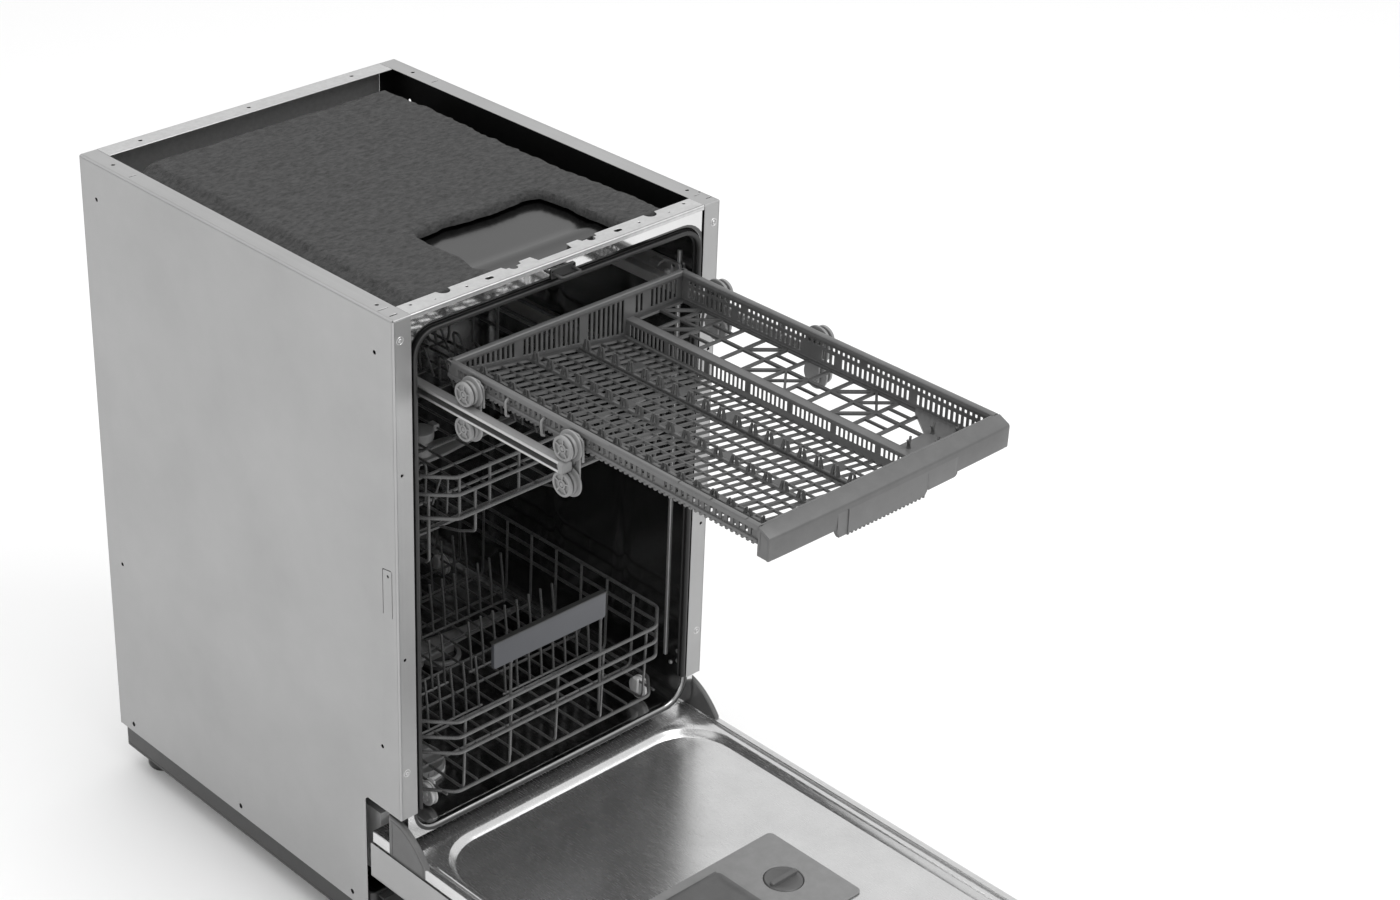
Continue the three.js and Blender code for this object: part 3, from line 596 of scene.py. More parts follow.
def crossbar():
    b = Build()
    reach = HALF - FLANGE - 0.3

    def half(sign):
        p = [(150, 24), (149, 22.5)] + circle(141.5, 22.5, 7.5, 10, 0, -math.pi)
        p += [(134, 24), (64, 24), (62, 18.5)] + circle(53, 17.5, 5, 8, 0.2, -math.pi - 0.4)
        p += [(42, 18.5), (40, 24), (25, 24), (23, 13)]
        return [(sign * u, v) for u, v in p]
    right, left = half(1), half(-1)[::-1]
    outline = [(-reach, 1.4), (reach, 1.4), (reach, 24)] + right + left + [(-reach, 24)]
    holes = []
    for s in (-1, 1):
        holes += [rect(s * 88 - 5, s * 88 + 5, 11, 16.5, 2.7, 4), circle(s * 118, 13.5, 1.6, 12),
                  circle(s * 160, 12, 1.1, 10), circle(s * 187, 18, 1.8, 12)]
    b.slab("z", TOP - 1, TOP, outline, holes, chamfer=0.25)
    bend(b, (0.3, TOP), (1, 0), (0, -1), 1.4, 1, "x", -reach, reach)
    b.slab("y", 0.3, 1.3, [(-reach, TOP - 5.5), (reach, TOP - 5.5), (reach, TOP - 1.4), (-reach, TOP - 1.4)])
    b.piece("front_crossbar_sheet", "zinc_sheet", "cabinet", ["front_crossbar"])


def densify(loop, step):
    """The loop with points added so that they stand about a step apart."""
    out = []
    for i, p in enumerate(loop):
        q = loop[(i + 1) % len(loop)]
        k = max(1, int(math.dist(p, q) / step))
        out += [tuple(p[c] + (q[c] - p[c]) * t / k for c in range(len(p))) for t in range(k)]
    return out


def tub():
    """Walls and roof with pressed beads, a flanged mouth, a back, and a floor plate with two openings."""
    base = densify(rect(-TUB["half"], TUB["half"], TUB["low"], TUB["high"], TUB["r"], 8), 14)
    a = np.array(base)
    e = np.roll(a, -1, 0) - np.roll(a, 1, 0)
    normal = np.stack([e[:, 1], -e[:, 0]], 1) / np.linalg.norm(e, axis=1)[:, None]

    def press(u, v, y):
        """How far the sheet stands out of its plane: upright beads in the walls, ribs in the roof."""
        d = 0.0
        if abs(u) > TUB["half"] - 1 and 240 < v < 700:
            fade = min(1, (v - 240) / 18, (700 - v) / 18)
            d += 1.6 * fade * sum(math.exp(-((y - c) / 7) ** 2) for c in (110, 230, 350, 440))
        if v > TUB["high"] - 1 and abs(u) < 150:
            fade = min(1, (150 - abs(u)) / 25)
            d += 1.3 * fade * sum(math.exp(-((y - c) / 8) ** 2) for c in (70, 380, 450))
        return d
    ys = sorted(set([8, 14, 22, 30] + list(range(40, 470, 6)) + [476, 484]))

    def ring(y, grow):
        return [(u + n[0] * (grow + press(u, v, y)), y, v + n[1] * (grow + press(u, v, y)))
                for (u, v), n in zip(base, normal)]

    def shifted(y, d):
        return [(u + n[0] * d, y, v + n[1] * d) for (u, v), n in zip(base, normal)]
    mouth = [(2.0, 6.0), (2.15, 3.6), (3.2, 1.2), (5.2, 0.0)]
    inner = [shifted(y, d) for y, d in mouth] + [ring(y, 0) for y in ys]
    back = [(488, -0.6), (493, -3.2), (496.6, -7.5), (498.2, -13)]
    inner += [shifted(y, d) for y, d in back]
    outer = [shifted(y + 1, d + 1) for y, d in back[::-1]] + [ring(y, 1) for y in ys[::-1]]
    outer += [shifted(6, 1), shifted(4.2, 2.2), shifted(3.1, 4.2), shifted(3.0, 6.0)]
    b = Build()
    b.loft(inner + outer, closed=True)
    edge = [(u + n[0] * -12.6, v + n[1] * -12.6) for (u, v), n in zip(base, normal)]
    b.slab("y", TUB["back"] - 0.3, TUB["back"] + 0.8, edge, [], chamfer=0.2)
    for z0, z1 in ((300, 470), (540, 700)):
        for x in (-110, 110):
            b.loft([[(u, TUB["back"] - 0.2, v) for u, v in rect(x - 60, x + 60, z0, z1, 14, 5)],
                    [(u, TUB["back"] - 2.6, v) for u, v in rect(x - 55, x + 55, z0 + 5, z1 - 5, 11, 5)]])
    b.piece("tub_shell", "shaded_tub_steel", "cabinet", ["tub"], angle=40)
    t = Build()
    for side in (-1, 1):
        t.sweep([(side * (TUB["half"] - 0.9), 33, 236), (side * (TUB["half"] - 0.9), 33, 752)],
                rect(-1.1, 1.1, -2.2, 2.2, 0.9, 3), (0, 1, 0))
        for y, z in ((24, 229), (13, 249), (12.6, 236)):
            t.lathe("x", y, z, [(0, side * 198.9), (2.6, side * 198.9), (2.6, side * 198.2),
                                (1.9, side * 197.4), (0, side * 197.3)], 14)
    t.piece("tub_mouth_fixings", "zinc_sheet", "cabinet")
    f = Build()
    flat = TUB["half"] - 3
    f.slab("z", TUB["low"] - 1, TUB["low"] + 0.15, rect(-flat + 20, flat - 20, 10, TUB["back"] - 8, 6, 3),
           [circle(*SUMP, 75, 48), circle(*SALT, 31, 32)], chamfer=0.1)
    f.lathe("z", *SUMP, [(75, 189.2), (75.6, 190.4), (73.5, 188), (72.6, 184), (73.6, 184), (75.2, 188)], 48,
            ring=True)
    f.piece("tub_floor", "shaded_tub_steel", "cabinet")
    g = Build()
    opening = [(u + n[0] * 5.8, v + n[1] * 5.8) for (u, v), n in zip(base, normal)]
    g.slab("y", 2, 3, rect(-213, 213, 184, 812.5, 3, 3), [opening], chamfer=0.2)
    g.piece("tub_front_flange", "flange_steel", "cabinet", slot="stainless_steel")


def gasket():
    """A rubber bulb seal up both sides and over the top of the opening, with its lip and its fixing foot."""
    b = Build()
    d = 3.2
    half, top, r = TUB["half"] - d, TUB["high"] - d, TUB["r"] - d
    arc_r = [(half - r + r * math.cos(t), top - r + r * math.sin(t)) for t in np.linspace(0, math.pi / 2, 10)]
    path = [(half, 0, 222), (half, 0, 300)] + [(u, 0, v) for u, v in arc_r]
    path += [(-u, 0, v) for u, v in arc_r[::-1]] + [(-half, 0, 300), (-half, 0, 222)]
    section = [(-2.8, -7.6), (2.6, -7.6), (2.8, -6.6), (1.6, -5.8), (1.8, -3.2), (2.7, -1.4), (2.8, 0.2),
               (1.9, 1.1), (0.4, 1.2), (-1.2, 0.8), (-2.4, -0.4), (-2.8, -2.4), (-1.5, -4.2), (-1.6, -5.8),
               (-2.8, -6.6)]
    b.sweep(path, section, (0, -1, 0))
    b.piece("tub_gasket_seal", "rubber", "cabinet", ["tub_gasket"], angle=50)


FELT = {"right": 174.0, "top": 795.0, "bend": 765.0, "bend_r": 30.2, "flat_r": 34.0, "foot": 330.0,
        "thick_top": 12.4, "thick_side": 7.0, "most_top": 15.5, "most_side": 7.8, "length": 464.0}


def blanket():
    """A torn-edged felt mat over the tub and down its left side, with a rough window cut at the front."""
    rng = random.Random(7)
    right = FELT["right"]
    flat_x = -TUB["half"] + TUB["r"]
    arc = FELT["flat_r"] * math.pi / 2
    down = FELT["bend"] - FELT["foot"]
    total = right - flat_x + arc + down

    def wave(t, seed, size):
        slow, quick = noise.noise(Vector((t * 0.03, seed, 0))), noise.noise(Vector((t * 0.11, seed, 5)))
        return size * slow + size * 0.5 * quick
    edge = []
    ys = [32 + i * 4 for i in range(117)]
    for y in ys:
        u = right - 3.5 + 4.5 * math.sin(y / 62 + 0.9) - max(0, y - 250) * 0.03 + wave(y, 1, 4.5)
        edge.append((u, y))
    outline = edge + [(u, 496 + wave(u, 2, 2.5)) for u in np.arange(right - 12, right - total, -8)]
    outline += [(right - total + wave(v, 3, 4), v) for v in np.arange(492, 34, -6)]
    outline += [(u, 31.5 + wave(u, 4, 1.5)) for u in np.arange(right - total + 4, right - 6, 6)]
    cut = [(-58, 33), (-72, 56), (-66, 84), (-69, 120), (-68, 152), (-62, 162), (-20, 165), (40, 160),
           (96, 163), (108, 158), (113, 120), (111, 80), (115, 34)]
    window = []
    for i, p in enumerate(cut):
        q = cut[(i + 1) % len(cut)]
        k = max(1, int(math.dist(p, q) / 5))
        for t in range(k):
            u, v = p[0] + (q[0] - p[0]) * t / k, p[1] + (q[1] - p[1]) * t / k
            if v > 36:
                u += wave(v + u, 9, 2.6)
                v += wave(u, 8, 2.6)
            window.append((u, v))
    loops = [outline if area(outline) > 0 else outline[::-1], window[::-1] if area(window) > 0 else window]

    def inside(x, y, segments):
        hit = 0
        for x0, y0, x1, y1 in segments:
            if (y0 > y) != (y1 > y) and x0 + (y - y0) * (x1 - x0) / (y1 - y0) > x:
                hit += 1
        return hit % 2 == 1
    inner = [inset(loop, 2.2) for loop in loops]
    pts, edges, kinds = [], [], []
    for loop, kind in [(l, 0) for l in loops] + [(l, 1) for l in inner]:
        m = len(pts)
        pts += [Vector(p) for p in loop]
        kinds += [kind] * len(loop)
        edges += [(m + i, m + (i + 1) % len(loop)) for i in range(len(loop))]
    outer_segments = [(*l[i], *l[(i + 1) % len(l)]) for l in loops for i in range(len(l))]
    step = 5.5
    m_inner = [(*l[i], *l[(i + 1) % len(l)]) for l in [inset(l, 4.5) for l in loops] for i in range(len(l))]
    for i in range(int(total / step) + 1):
        for j in range(int(470 / step) + 1):
            u = right - i * step + rng.uniform(-1.5, 1.5)
            v = 30 + j * step + rng.uniform(-1.5, 1.5)
            if inside(u, v, m_inner):
                pts.append(Vector((u, v)))
                kinds.append(2)
    found, _, tris, origin, _, _ = delaunay_2d_cdt(pts, edges, [], 0, 1e-4)

    def at(u, y, h):
        """From the mat laid flat to the mat over the tub, h above the steel."""
        if u >= flat_x:
            return (u, y, FELT["top"] + h)
        s, r = flat_x - u, FELT["bend_r"] + h
        if s < arc:
            t = s / arc * math.pi / 2
            return (flat_x - r * math.sin(t), y, FELT["bend"] + r * math.cos(t))
        return (flat_x - FELT["bend_r"] - h, y, FELT["bend"] - (s - arc))
    b = Build()
    n = len(found)
    verts, faces = [], []
    for i, p in enumerate(found):
        kind = min([kinds[k] for k in origin[i] if k < len(kinds)] or [2])
        lump = 0.9 * noise.noise(Vector((p.x * 0.02, p.y * 0.03, 1)))
        lump += 0.7 * noise.noise(Vector((p.x * 0.07, p.y * 0.16, 2)))
        lump += 0.8 * noise.noise(Vector((p.x * 0.16, p.y * 0.4, 3)))
        limit = FELT["thick_top"] if p.x >= flat_x - 8 else FELT["thick_side"]
        thick = limit + 1.4 * lump if kind == 2 else (limit - 0.9 + lump if kind == 1 else limit * 0.55)
        most = FELT["most_top"] if p.x >= flat_x else FELT["most_side"]
        verts.append((at(p.x, p.y, min(thick, most)), at(p.x, p.y, 0.4 if kind else 1.6)))
    b_verts = [v[0] for v in verts] + [v[1] for v in verts]
    used = {}
    for t in tris:
        c = (found[t[0]] + found[t[1]] + found[t[2]]) / 3
        if not inside(c.x, c.y, outer_segments):
            continue
        faces.append(tuple(t))
        faces.append(tuple(i + n for i in t[::-1]))
        for k in range(3):
            pair = (t[k], t[(k + 1) % 3])
            used[pair] = used.get(pair, 0) + 1
    for (i, j) in list(used):
        if (j, i) not in used:
            faces.append((j, i, i + n, j + n))
    b.add(b_verts, faces)
    o = b.piece("insulation_felt", "felt", "cabinet", ["insulation_blanket"], angle=60)
    return o


def rear_panel():
    b = Build()
    r = 1.4
    hole = circle(150, 127, 9, 24)
    vents = [rect(x - 2, x + 2, 90, 118, 1.9, 3) for x in range(-120, -30, 9)]
    b.slab("y", DEPTH - 1, DEPTH, rect(-200.5, 200.5, FOOT_Z, TOP - r, 0.5, 2), [hole] + vents)
    bend(b, (DEPTH, TOP), (-1, 0), (0, -1), r, 1, "x", -200.5, 200.5)
    b.slab("z", TOP - 1, TOP, rect(-200.5, 200.5, DEPTH - 26, DEPTH - r, 1, 2),
           [circle(x, DEPTH - 12, 2.5, 14) for x in (-150, 0, 150)])
    for x in (-120, 0, 120):
        b.loft([[(u, DEPTH - 0.2, v) for u, v in rect(x - 38, x + 38, 190, 760, 20, 6)],
                [(u, DEPTH - 0.05, v) for u, v in rect(x - 37, x + 37, 191, 759, 19, 6)],
                [(u, DEPTH - 0.05, v) for u, v in rect(x - 31, x + 31, 197, 753, 15, 6)],
                [(u, DEPTH - 0.9, v) for u, v in rect(x - 30, x + 30, 198, 752, 14, 6)]])
    b.piece("rear_panel_sheet", "zinc_sheet", "cabinet", ["rear_panel"])
    s = Build()
    for x in (-193, 193):
        for z in (90, 330, 560, 780):
            screw(s, "y", x, z, DEPTH - 0.6, 1)
    s.piece("rear_screws", "zinc_sheet", "cabinet")


def base_parts():
    b = Build()
    outer = rect(-221, 221, 57, 546, 8, 4)
    inner = rect(-217, 217, 61, 542, 5, 4)
    b.slab("z", 34, 84, outer, [inner], chamfer=0.8)
    b.slab("z", 30, 34.5, outer, [circle(x, y, 4, 12) for x in (-150, 150) for y in (200, 400)], chamfer=0.8)
    for x in (-180, -70, 70, 180):
        b.block(x - 1.6, x + 1.6, 58, 545, 33, 42)
    for y in (140, 230, 330, 430):
        b.block(-218, 218, y - 1.6, y + 1.6, 33, 42)
    for x in (-219.6, 219.6):
        for y in range(90, 520, 36):
            b.block(x - 1.3, x + 1.3, y - 1.2, y + 1.2, 34, 82)
    b.lathe("y", -150, 62, [(9, 541), (13, 541), (13, 546), (11, 549), (9, 549)], 20, ring=True)
    b.piece("base_tray_moulding", "black_plastic", "cabinet", ["base_tray"])
    k = Build()
    slots = [rect(x - 6, x + 6, 60, 64, 1.9, 3) for x in range(-180, 181, 24)]
    slots += [rect(x - 4, x + 4, 26, 34, 2, 3) for x in (-190, 190)]
    k.slab("y", 46, 47.6, rect(-215, 215, 14, 82, 3, 3), slots)
    k.slab("z", 80.4, 82, rect(-214, 214, 46.6, 56, 2, 2), [])
    k.slab("z", 14, 15.6, rect(-214, 214, 46.6, 56, 2, 2), [])
    k.piece("kick_plate_sheet", "black_plastic", "cabinet", ["kick_plate"])
    for name, x, y in (("left_front_foot", -185, 90), ("right_front_foot", 185, 90),
                       ("left_rear_foot", -185, 515), ("right_rear_foot", 185, 515)):
        f = Build()
        f.lathe("z", x, y, [(0, 0), (18, 0), (20, 1), (21, 3), (21, 6.5), (19.5, 8), (11, 9), (0, 9)], 32)
        f.loft([[(x + 12 * math.cos(a), y + 12 * math.sin(a), z) for a in turns(6)]
                for z in (8.6, 9.2, 15.4, 16)])
        thread = []
        for k in range(8):
            z = 16 + k * 1.72
            thread += [(7.2, z), (8.6, z + 0.5), (8.6, z + 0.9), (7.2, z + 1.4)]
        f.lathe("z", x, y, [(0, 15.9)] + thread + [(7.2, 29.6), (0, 29.6)], 20)
        f.piece(name + "_turned", "black_plastic", "cabinet", [name])


# ------------------------------------------------------------------ inside the tub


def spray_arm(name, cx, cy, z, reach, hub_up, body):
    """A moulded arm: a long twisted blade that thins to its tips, a hub, and raised nozzles."""
    b = Build()
    rings = []
    for i in range(33):
        t = -1 + 2 * i / 32
        x = cx + reach * math.copysign(abs(t) ** 0.92, t)
        edge = 1 - abs(t) ** 5
        wide = (9.5 + 9 * math.exp(-((t * 3.2) ** 2))) * max(edge, 0.16) ** 0.5
        tall = (3.4 + 1.0 * math.exp(-((t * 3) ** 2))) * max(edge, 0.2) ** 0.5
        lean = 2.5 * math.sin(t * math.pi / 2) * (1 if t < 0 else -1)
        rings.append([(x, cy + lean + wide * math.cos(a),
                       z + 4.5 + tall * math.copysign(abs(math.sin(a)) ** 0.8, math.sin(a)))
                      for a in turns(18)])
    b.loft(rings)
    low, high = (z + 6, z + 16) if hub_up else (z - 8, z + 4)
    b.lathe("z", cx, cy, [(9, low), (14, low), (14, high - 1), (13, high), (9, high)], 28, ring=True)
    cap = z + 9 if not hub_up else z
    d = 1 if not hub_up else -1
    b.lathe("z", cx, cy, [(0, cap - 2 * d), (15, cap - 2 * d), (14, cap + 0.6 * d), (9, cap + 1.2 * d),
                          (0, cap + 1.2 * d)], 28)
    for k, t in enumerate((-0.88, -0.7, -0.52, -0.34, 0.3, 0.46, 0.62, 0.78, 0.9)):
        x = cx + reach * t
        y = cy + (3 if k % 2 else -3)
        b.lathe("z", x, y, [(1.0, z + 6.8), (2.6, z + 6.8), (2.3, z + 8.5), (1.3, z + 8.8), (1.0, z + 7.6)],
                14, ring=True)
    b.piece(name + "_blade", "grey_plastic", body, [name])


def water_parts():
    f = Build()
    top = 189.0
    holes = [circle(*FILTER, 25.4, 36)]
    for r in (34, 41, 48, 55, 62):
        for a in turns(int(r * 0.95)):
            p = (SUMP[0] + r * math.cos(a), SUMP[1] + r * math.sin(a))
            if math.dist(p, FILTER) > 30:
                holes.append(circle(*p, 1.1, 6))
    f.slab("z", top - 2, top, circle(*SUMP, 71, 48), holes, chamfer=0.2)
    f.lathe("z", *SUMP, [(66, top - 0.4), (72, top - 0.4), (71.6, top + 0.5), (66.4, top + 0.5)], 48,
            ring=True)
    f.lathe("z", *SUMP, [(0, 188), (12, 188), (12, 193), (10, 195.6), (0, 195.6)], 24)
    f.piece("filter_mesh", "bright_steel", "cabinet", ["filter_plate"])
    c = Build()
    c.lathe("z", *FILTER, [(21, 190.5), (26, 190.5), (26, 194), (25, 195), (21, 195)], 36, ring=True)
    for a in turns(16):
        x, y = FILTER[0] + 22.4 * math.cos(a), FILTER[1] + 22.4 * math.sin(a)
        c.tube([(x, y, 131), (x, y, 191)], 1.1, 6)
    for z in (131, 150, 170):
        c.lathe("z", *FILTER, [(21.4, z), (23.4, z), (23.4, z + 2.4), (21.4, z + 2.4)], 32, ring=True)
    c.lathe("z", *FILTER, [(0, 130), (23, 130), (23, 132), (0, 132)], 32)
    c.lathe("z", *FILTER, [(20.6, 132), (21.2, 132), (21.2, 190), (20.6, 190)], 32, ring=True)
    c.loft([rect_ring(*FILTER, 21 - 0.1 * k, 3.4 - 0.3 * k, z)
            for k, z in ((0, 180), (0, 195.5), (4, 197.6))])
    c.piece("filter_cup", "grey_plastic", "filter", ["filter_cylinder"])
    s = Build()
    x, y, z = *SALT, TUB["low"]
    s.lathe("z", x, y, [(0, 160), (25, 160), (25, z + 4.4), (29.4, z + 4.4), (30, z + 5.2), (30, z + 10),
                        (28.8, z + 12), (22, z + 12), (20, z + 11), (0, z + 11)], 36)
    for a in turns(24):
        s.lathe("z", x + 29.6 * math.cos(a), y + 29.6 * math.sin(a),
                [(0, z + 5.4), (1.2, z + 5.8), (1.2, z + 10.2), (0, z + 10.8)], 8)
    s.loft([rect_ring(x, y, 20 - 0.5 * k, 4 - 0.4 * k, h)
            for k, h in ((0, z + 10), (0, z + 20), (3, z + 22))])
    s.piece("salt_lid_turned", "grey_plastic", "salt_lid", ["salt_cap"])
    m = Build()
    m.sweep([(0, 491.5, 196.5), (0, 491.5, 785.5)], rect(-13.5, 13.5, -6.3, 6.3, 4, 4), (0, 1, 0))
    m.sweep([(0, 488, 785.4), (0, 235, 785.4)], rect(-13.5, 13.5, -5.2, 5.2, 4, 4), (0, 0, 1))
    for z in (260, 420, 640):
        m.loft([rect_ring(0, 490, 14, 7.4, z + k) for k in (-4, 4)])
    m.lathe("z", *FEED, [(0, 780.2), (9, 780.2), (10, 781), (14, 783), (14, 790), (0, 790.6)], 24)
    m.piece("feed_pipe", "grey_plastic", "cabinet", ["feed_column"])
    k = Build()
    k.slab("y", 0.3, 1.7, rect(-17, 17, 795, 806, 2.5, 4),
           [circle(-14.4, 803, 1.3, 10), circle(14.4, 803, 1.3, 10)])
    k.tube([(-13, 1, 800), (-13, -12.2, 800), (13, -12.2, 800), (13, 1, 800)], 1.9, 12, bend=3.5)
    k.piece("strike_loop_wire", "black_plastic", "cabinet", ["lock_strike"])


def rect_ring(cx, cy, hx, hy, z, r=2.0):
    """A level rectangle in space, for lofts that rise along z."""
    return [(u, v, z) for u, v in rect(cx - hx, cx + hx, cy - hy, cy + hy, min(r, hx * 0.8, hy * 0.8), 3)]


# ------------------------------------------------------------------ tray, rails and rollers

TRAY = {"half": 163.0, "top": 757.0, "floor": 721.0, "left": 738.0, "trough": 703.0, "rear": -8.0,
        "front": -437.0, "step": 80.0}
RAIL_Z = 722.0
RAIL_X = 172.0  # the inner edge of each rail
ROLLER_Y = {"rear": -54.0, "front": -198.0}
RISE = 19.3


def slots_between(a, b, z0, z1, pitch=6.6, width=3.2, group=0, gap=0.0, slant=0.0):
    """Upright slots along a wall between two places, in groups if a group's size is given."""
    out, u, count = [], a, 0
    while u + width <= b:
        out.append([(u, z0), (u + width, z0), (u + width + slant, z1), (u + slant, z1)])
        count += 1
        u += pitch
        if group and count % group == 0:
            u += gap
    return out


def floor_cell(kind, u0, u1, v0, v1, bar=1.3):
    """The holes of one cell of the tray's floor."""
    cu, cv = (u0 + u1) / 2, (v0 + v1) / 2
    if kind == "open":
        return [rect(u0, u1, v0, v1)]
    if kind == "pair":
        return [rect(u0, cu - bar, v0, v1), rect(cu + bar, u1, v0, v1)]
    if kind == "bars":
        third = (v1 - v0) / 3
        return [rect(u0, u1, v0 + k * third + bar * 0.6, v0 + (k + 1) * third - bar * 0.6) for k in range(3)]
    if kind == "slash":
        d = bar * 2.2
        return [[(u0, v0), (u1 - d, v0), (u0, v1 - d)], [(u1, v1), (u0 + d, v1), (u1, v0 + d)]]
    d = bar * 1.5
    return [[(u0 + d, v0), (u1 - d, v0), (cu, cv - d)], [(u1, v0 + d), (u1, v1 - d), (cu + d, cv)],
            [(u1 - d, v1), (u0 + d, v1), (cu, cv + d)], [(u0, v1 - d), (u0, v0 + d), (cu - d, cv)]]


def floor_level(x):
    """The underside of the tray's floor: a slope down to the trough, then a step up to the right section."""
    if x > TRAY["step"]:
        return TRAY["floor"]
    t = min(1.0, (x + TRAY["half"]) / (TRAY["step"] - 10 + TRAY["half"]))
    return TRAY["left"] + (TRAY["trough"] - TRAY["left"]) * t


def floor_at(x, y):
    """The same with the trough's front end raised, so that it stays behind the front bar."""
    return max(floor_level(x), TRAY["trough"] + 7 * max(0.0, min(1.0, (TRAY["front"] + 20 - y) / 6)))


def tray_floor_holes():
    """The left section is a grid of small oblongs; the right one mixes crossed, barred and open cells."""
    left, right = [], []
    front, rear = TRAY["front"] + 20, TRAY["rear"] - 7
    columns = [(-155, -145), (-142.5, -122), (-119.5, -99), (-96.5, -78), (-75.5, -55), (-52.5, -43),
               (-40.5, -20), (-17.5, 3), (5.5, 15), (17.5, 38), (40.5, 61), (63.5, 74)]
    rows = 35
    pitch = (rear - front) / rows
    for i, (u0, u1) in enumerate(columns):
        for j in range(rows):
            v0 = front + j * pitch
            if i % 4 == 1 and j % 6 == 5:
                continue
            left.append(rect(u0, u1, v0, v0 + pitch - (2.5 if (i + j) % 5 else 4.2)))
    kinds = ["open", "pair", "slash", "open", "pair", "cross", "slash", "open"]
    start = front + 37
    rows = 12
    cell = (rear - start) / rows
    for i, (u0, u1) in enumerate(((91, 121), (125, 155))):
        for j in range(rows):
            v0 = start + j * cell
            kind = kinds[(i * 3 + j) % len(kinds)]
            right += floor_cell(kind, u0, u1, v0, v0 + cell - 3.6)
    return left, right


def rim(left_lip, right_lip):
    """The section of the tray's rim: a flat top with a lip hanging down on each side."""
    return [(-3.5, -left_lip), (-3.5, -1.2), (-2.7, -0.3), (-1.5, 0), (1.5, 0), (2.7, -0.3), (3.5, -1.2),
            (3.5, -right_lip), (1.9, -right_lip - 0.3), (1.9, -2.4), (-1.9, -2.4), (-1.9, -left_lip)]


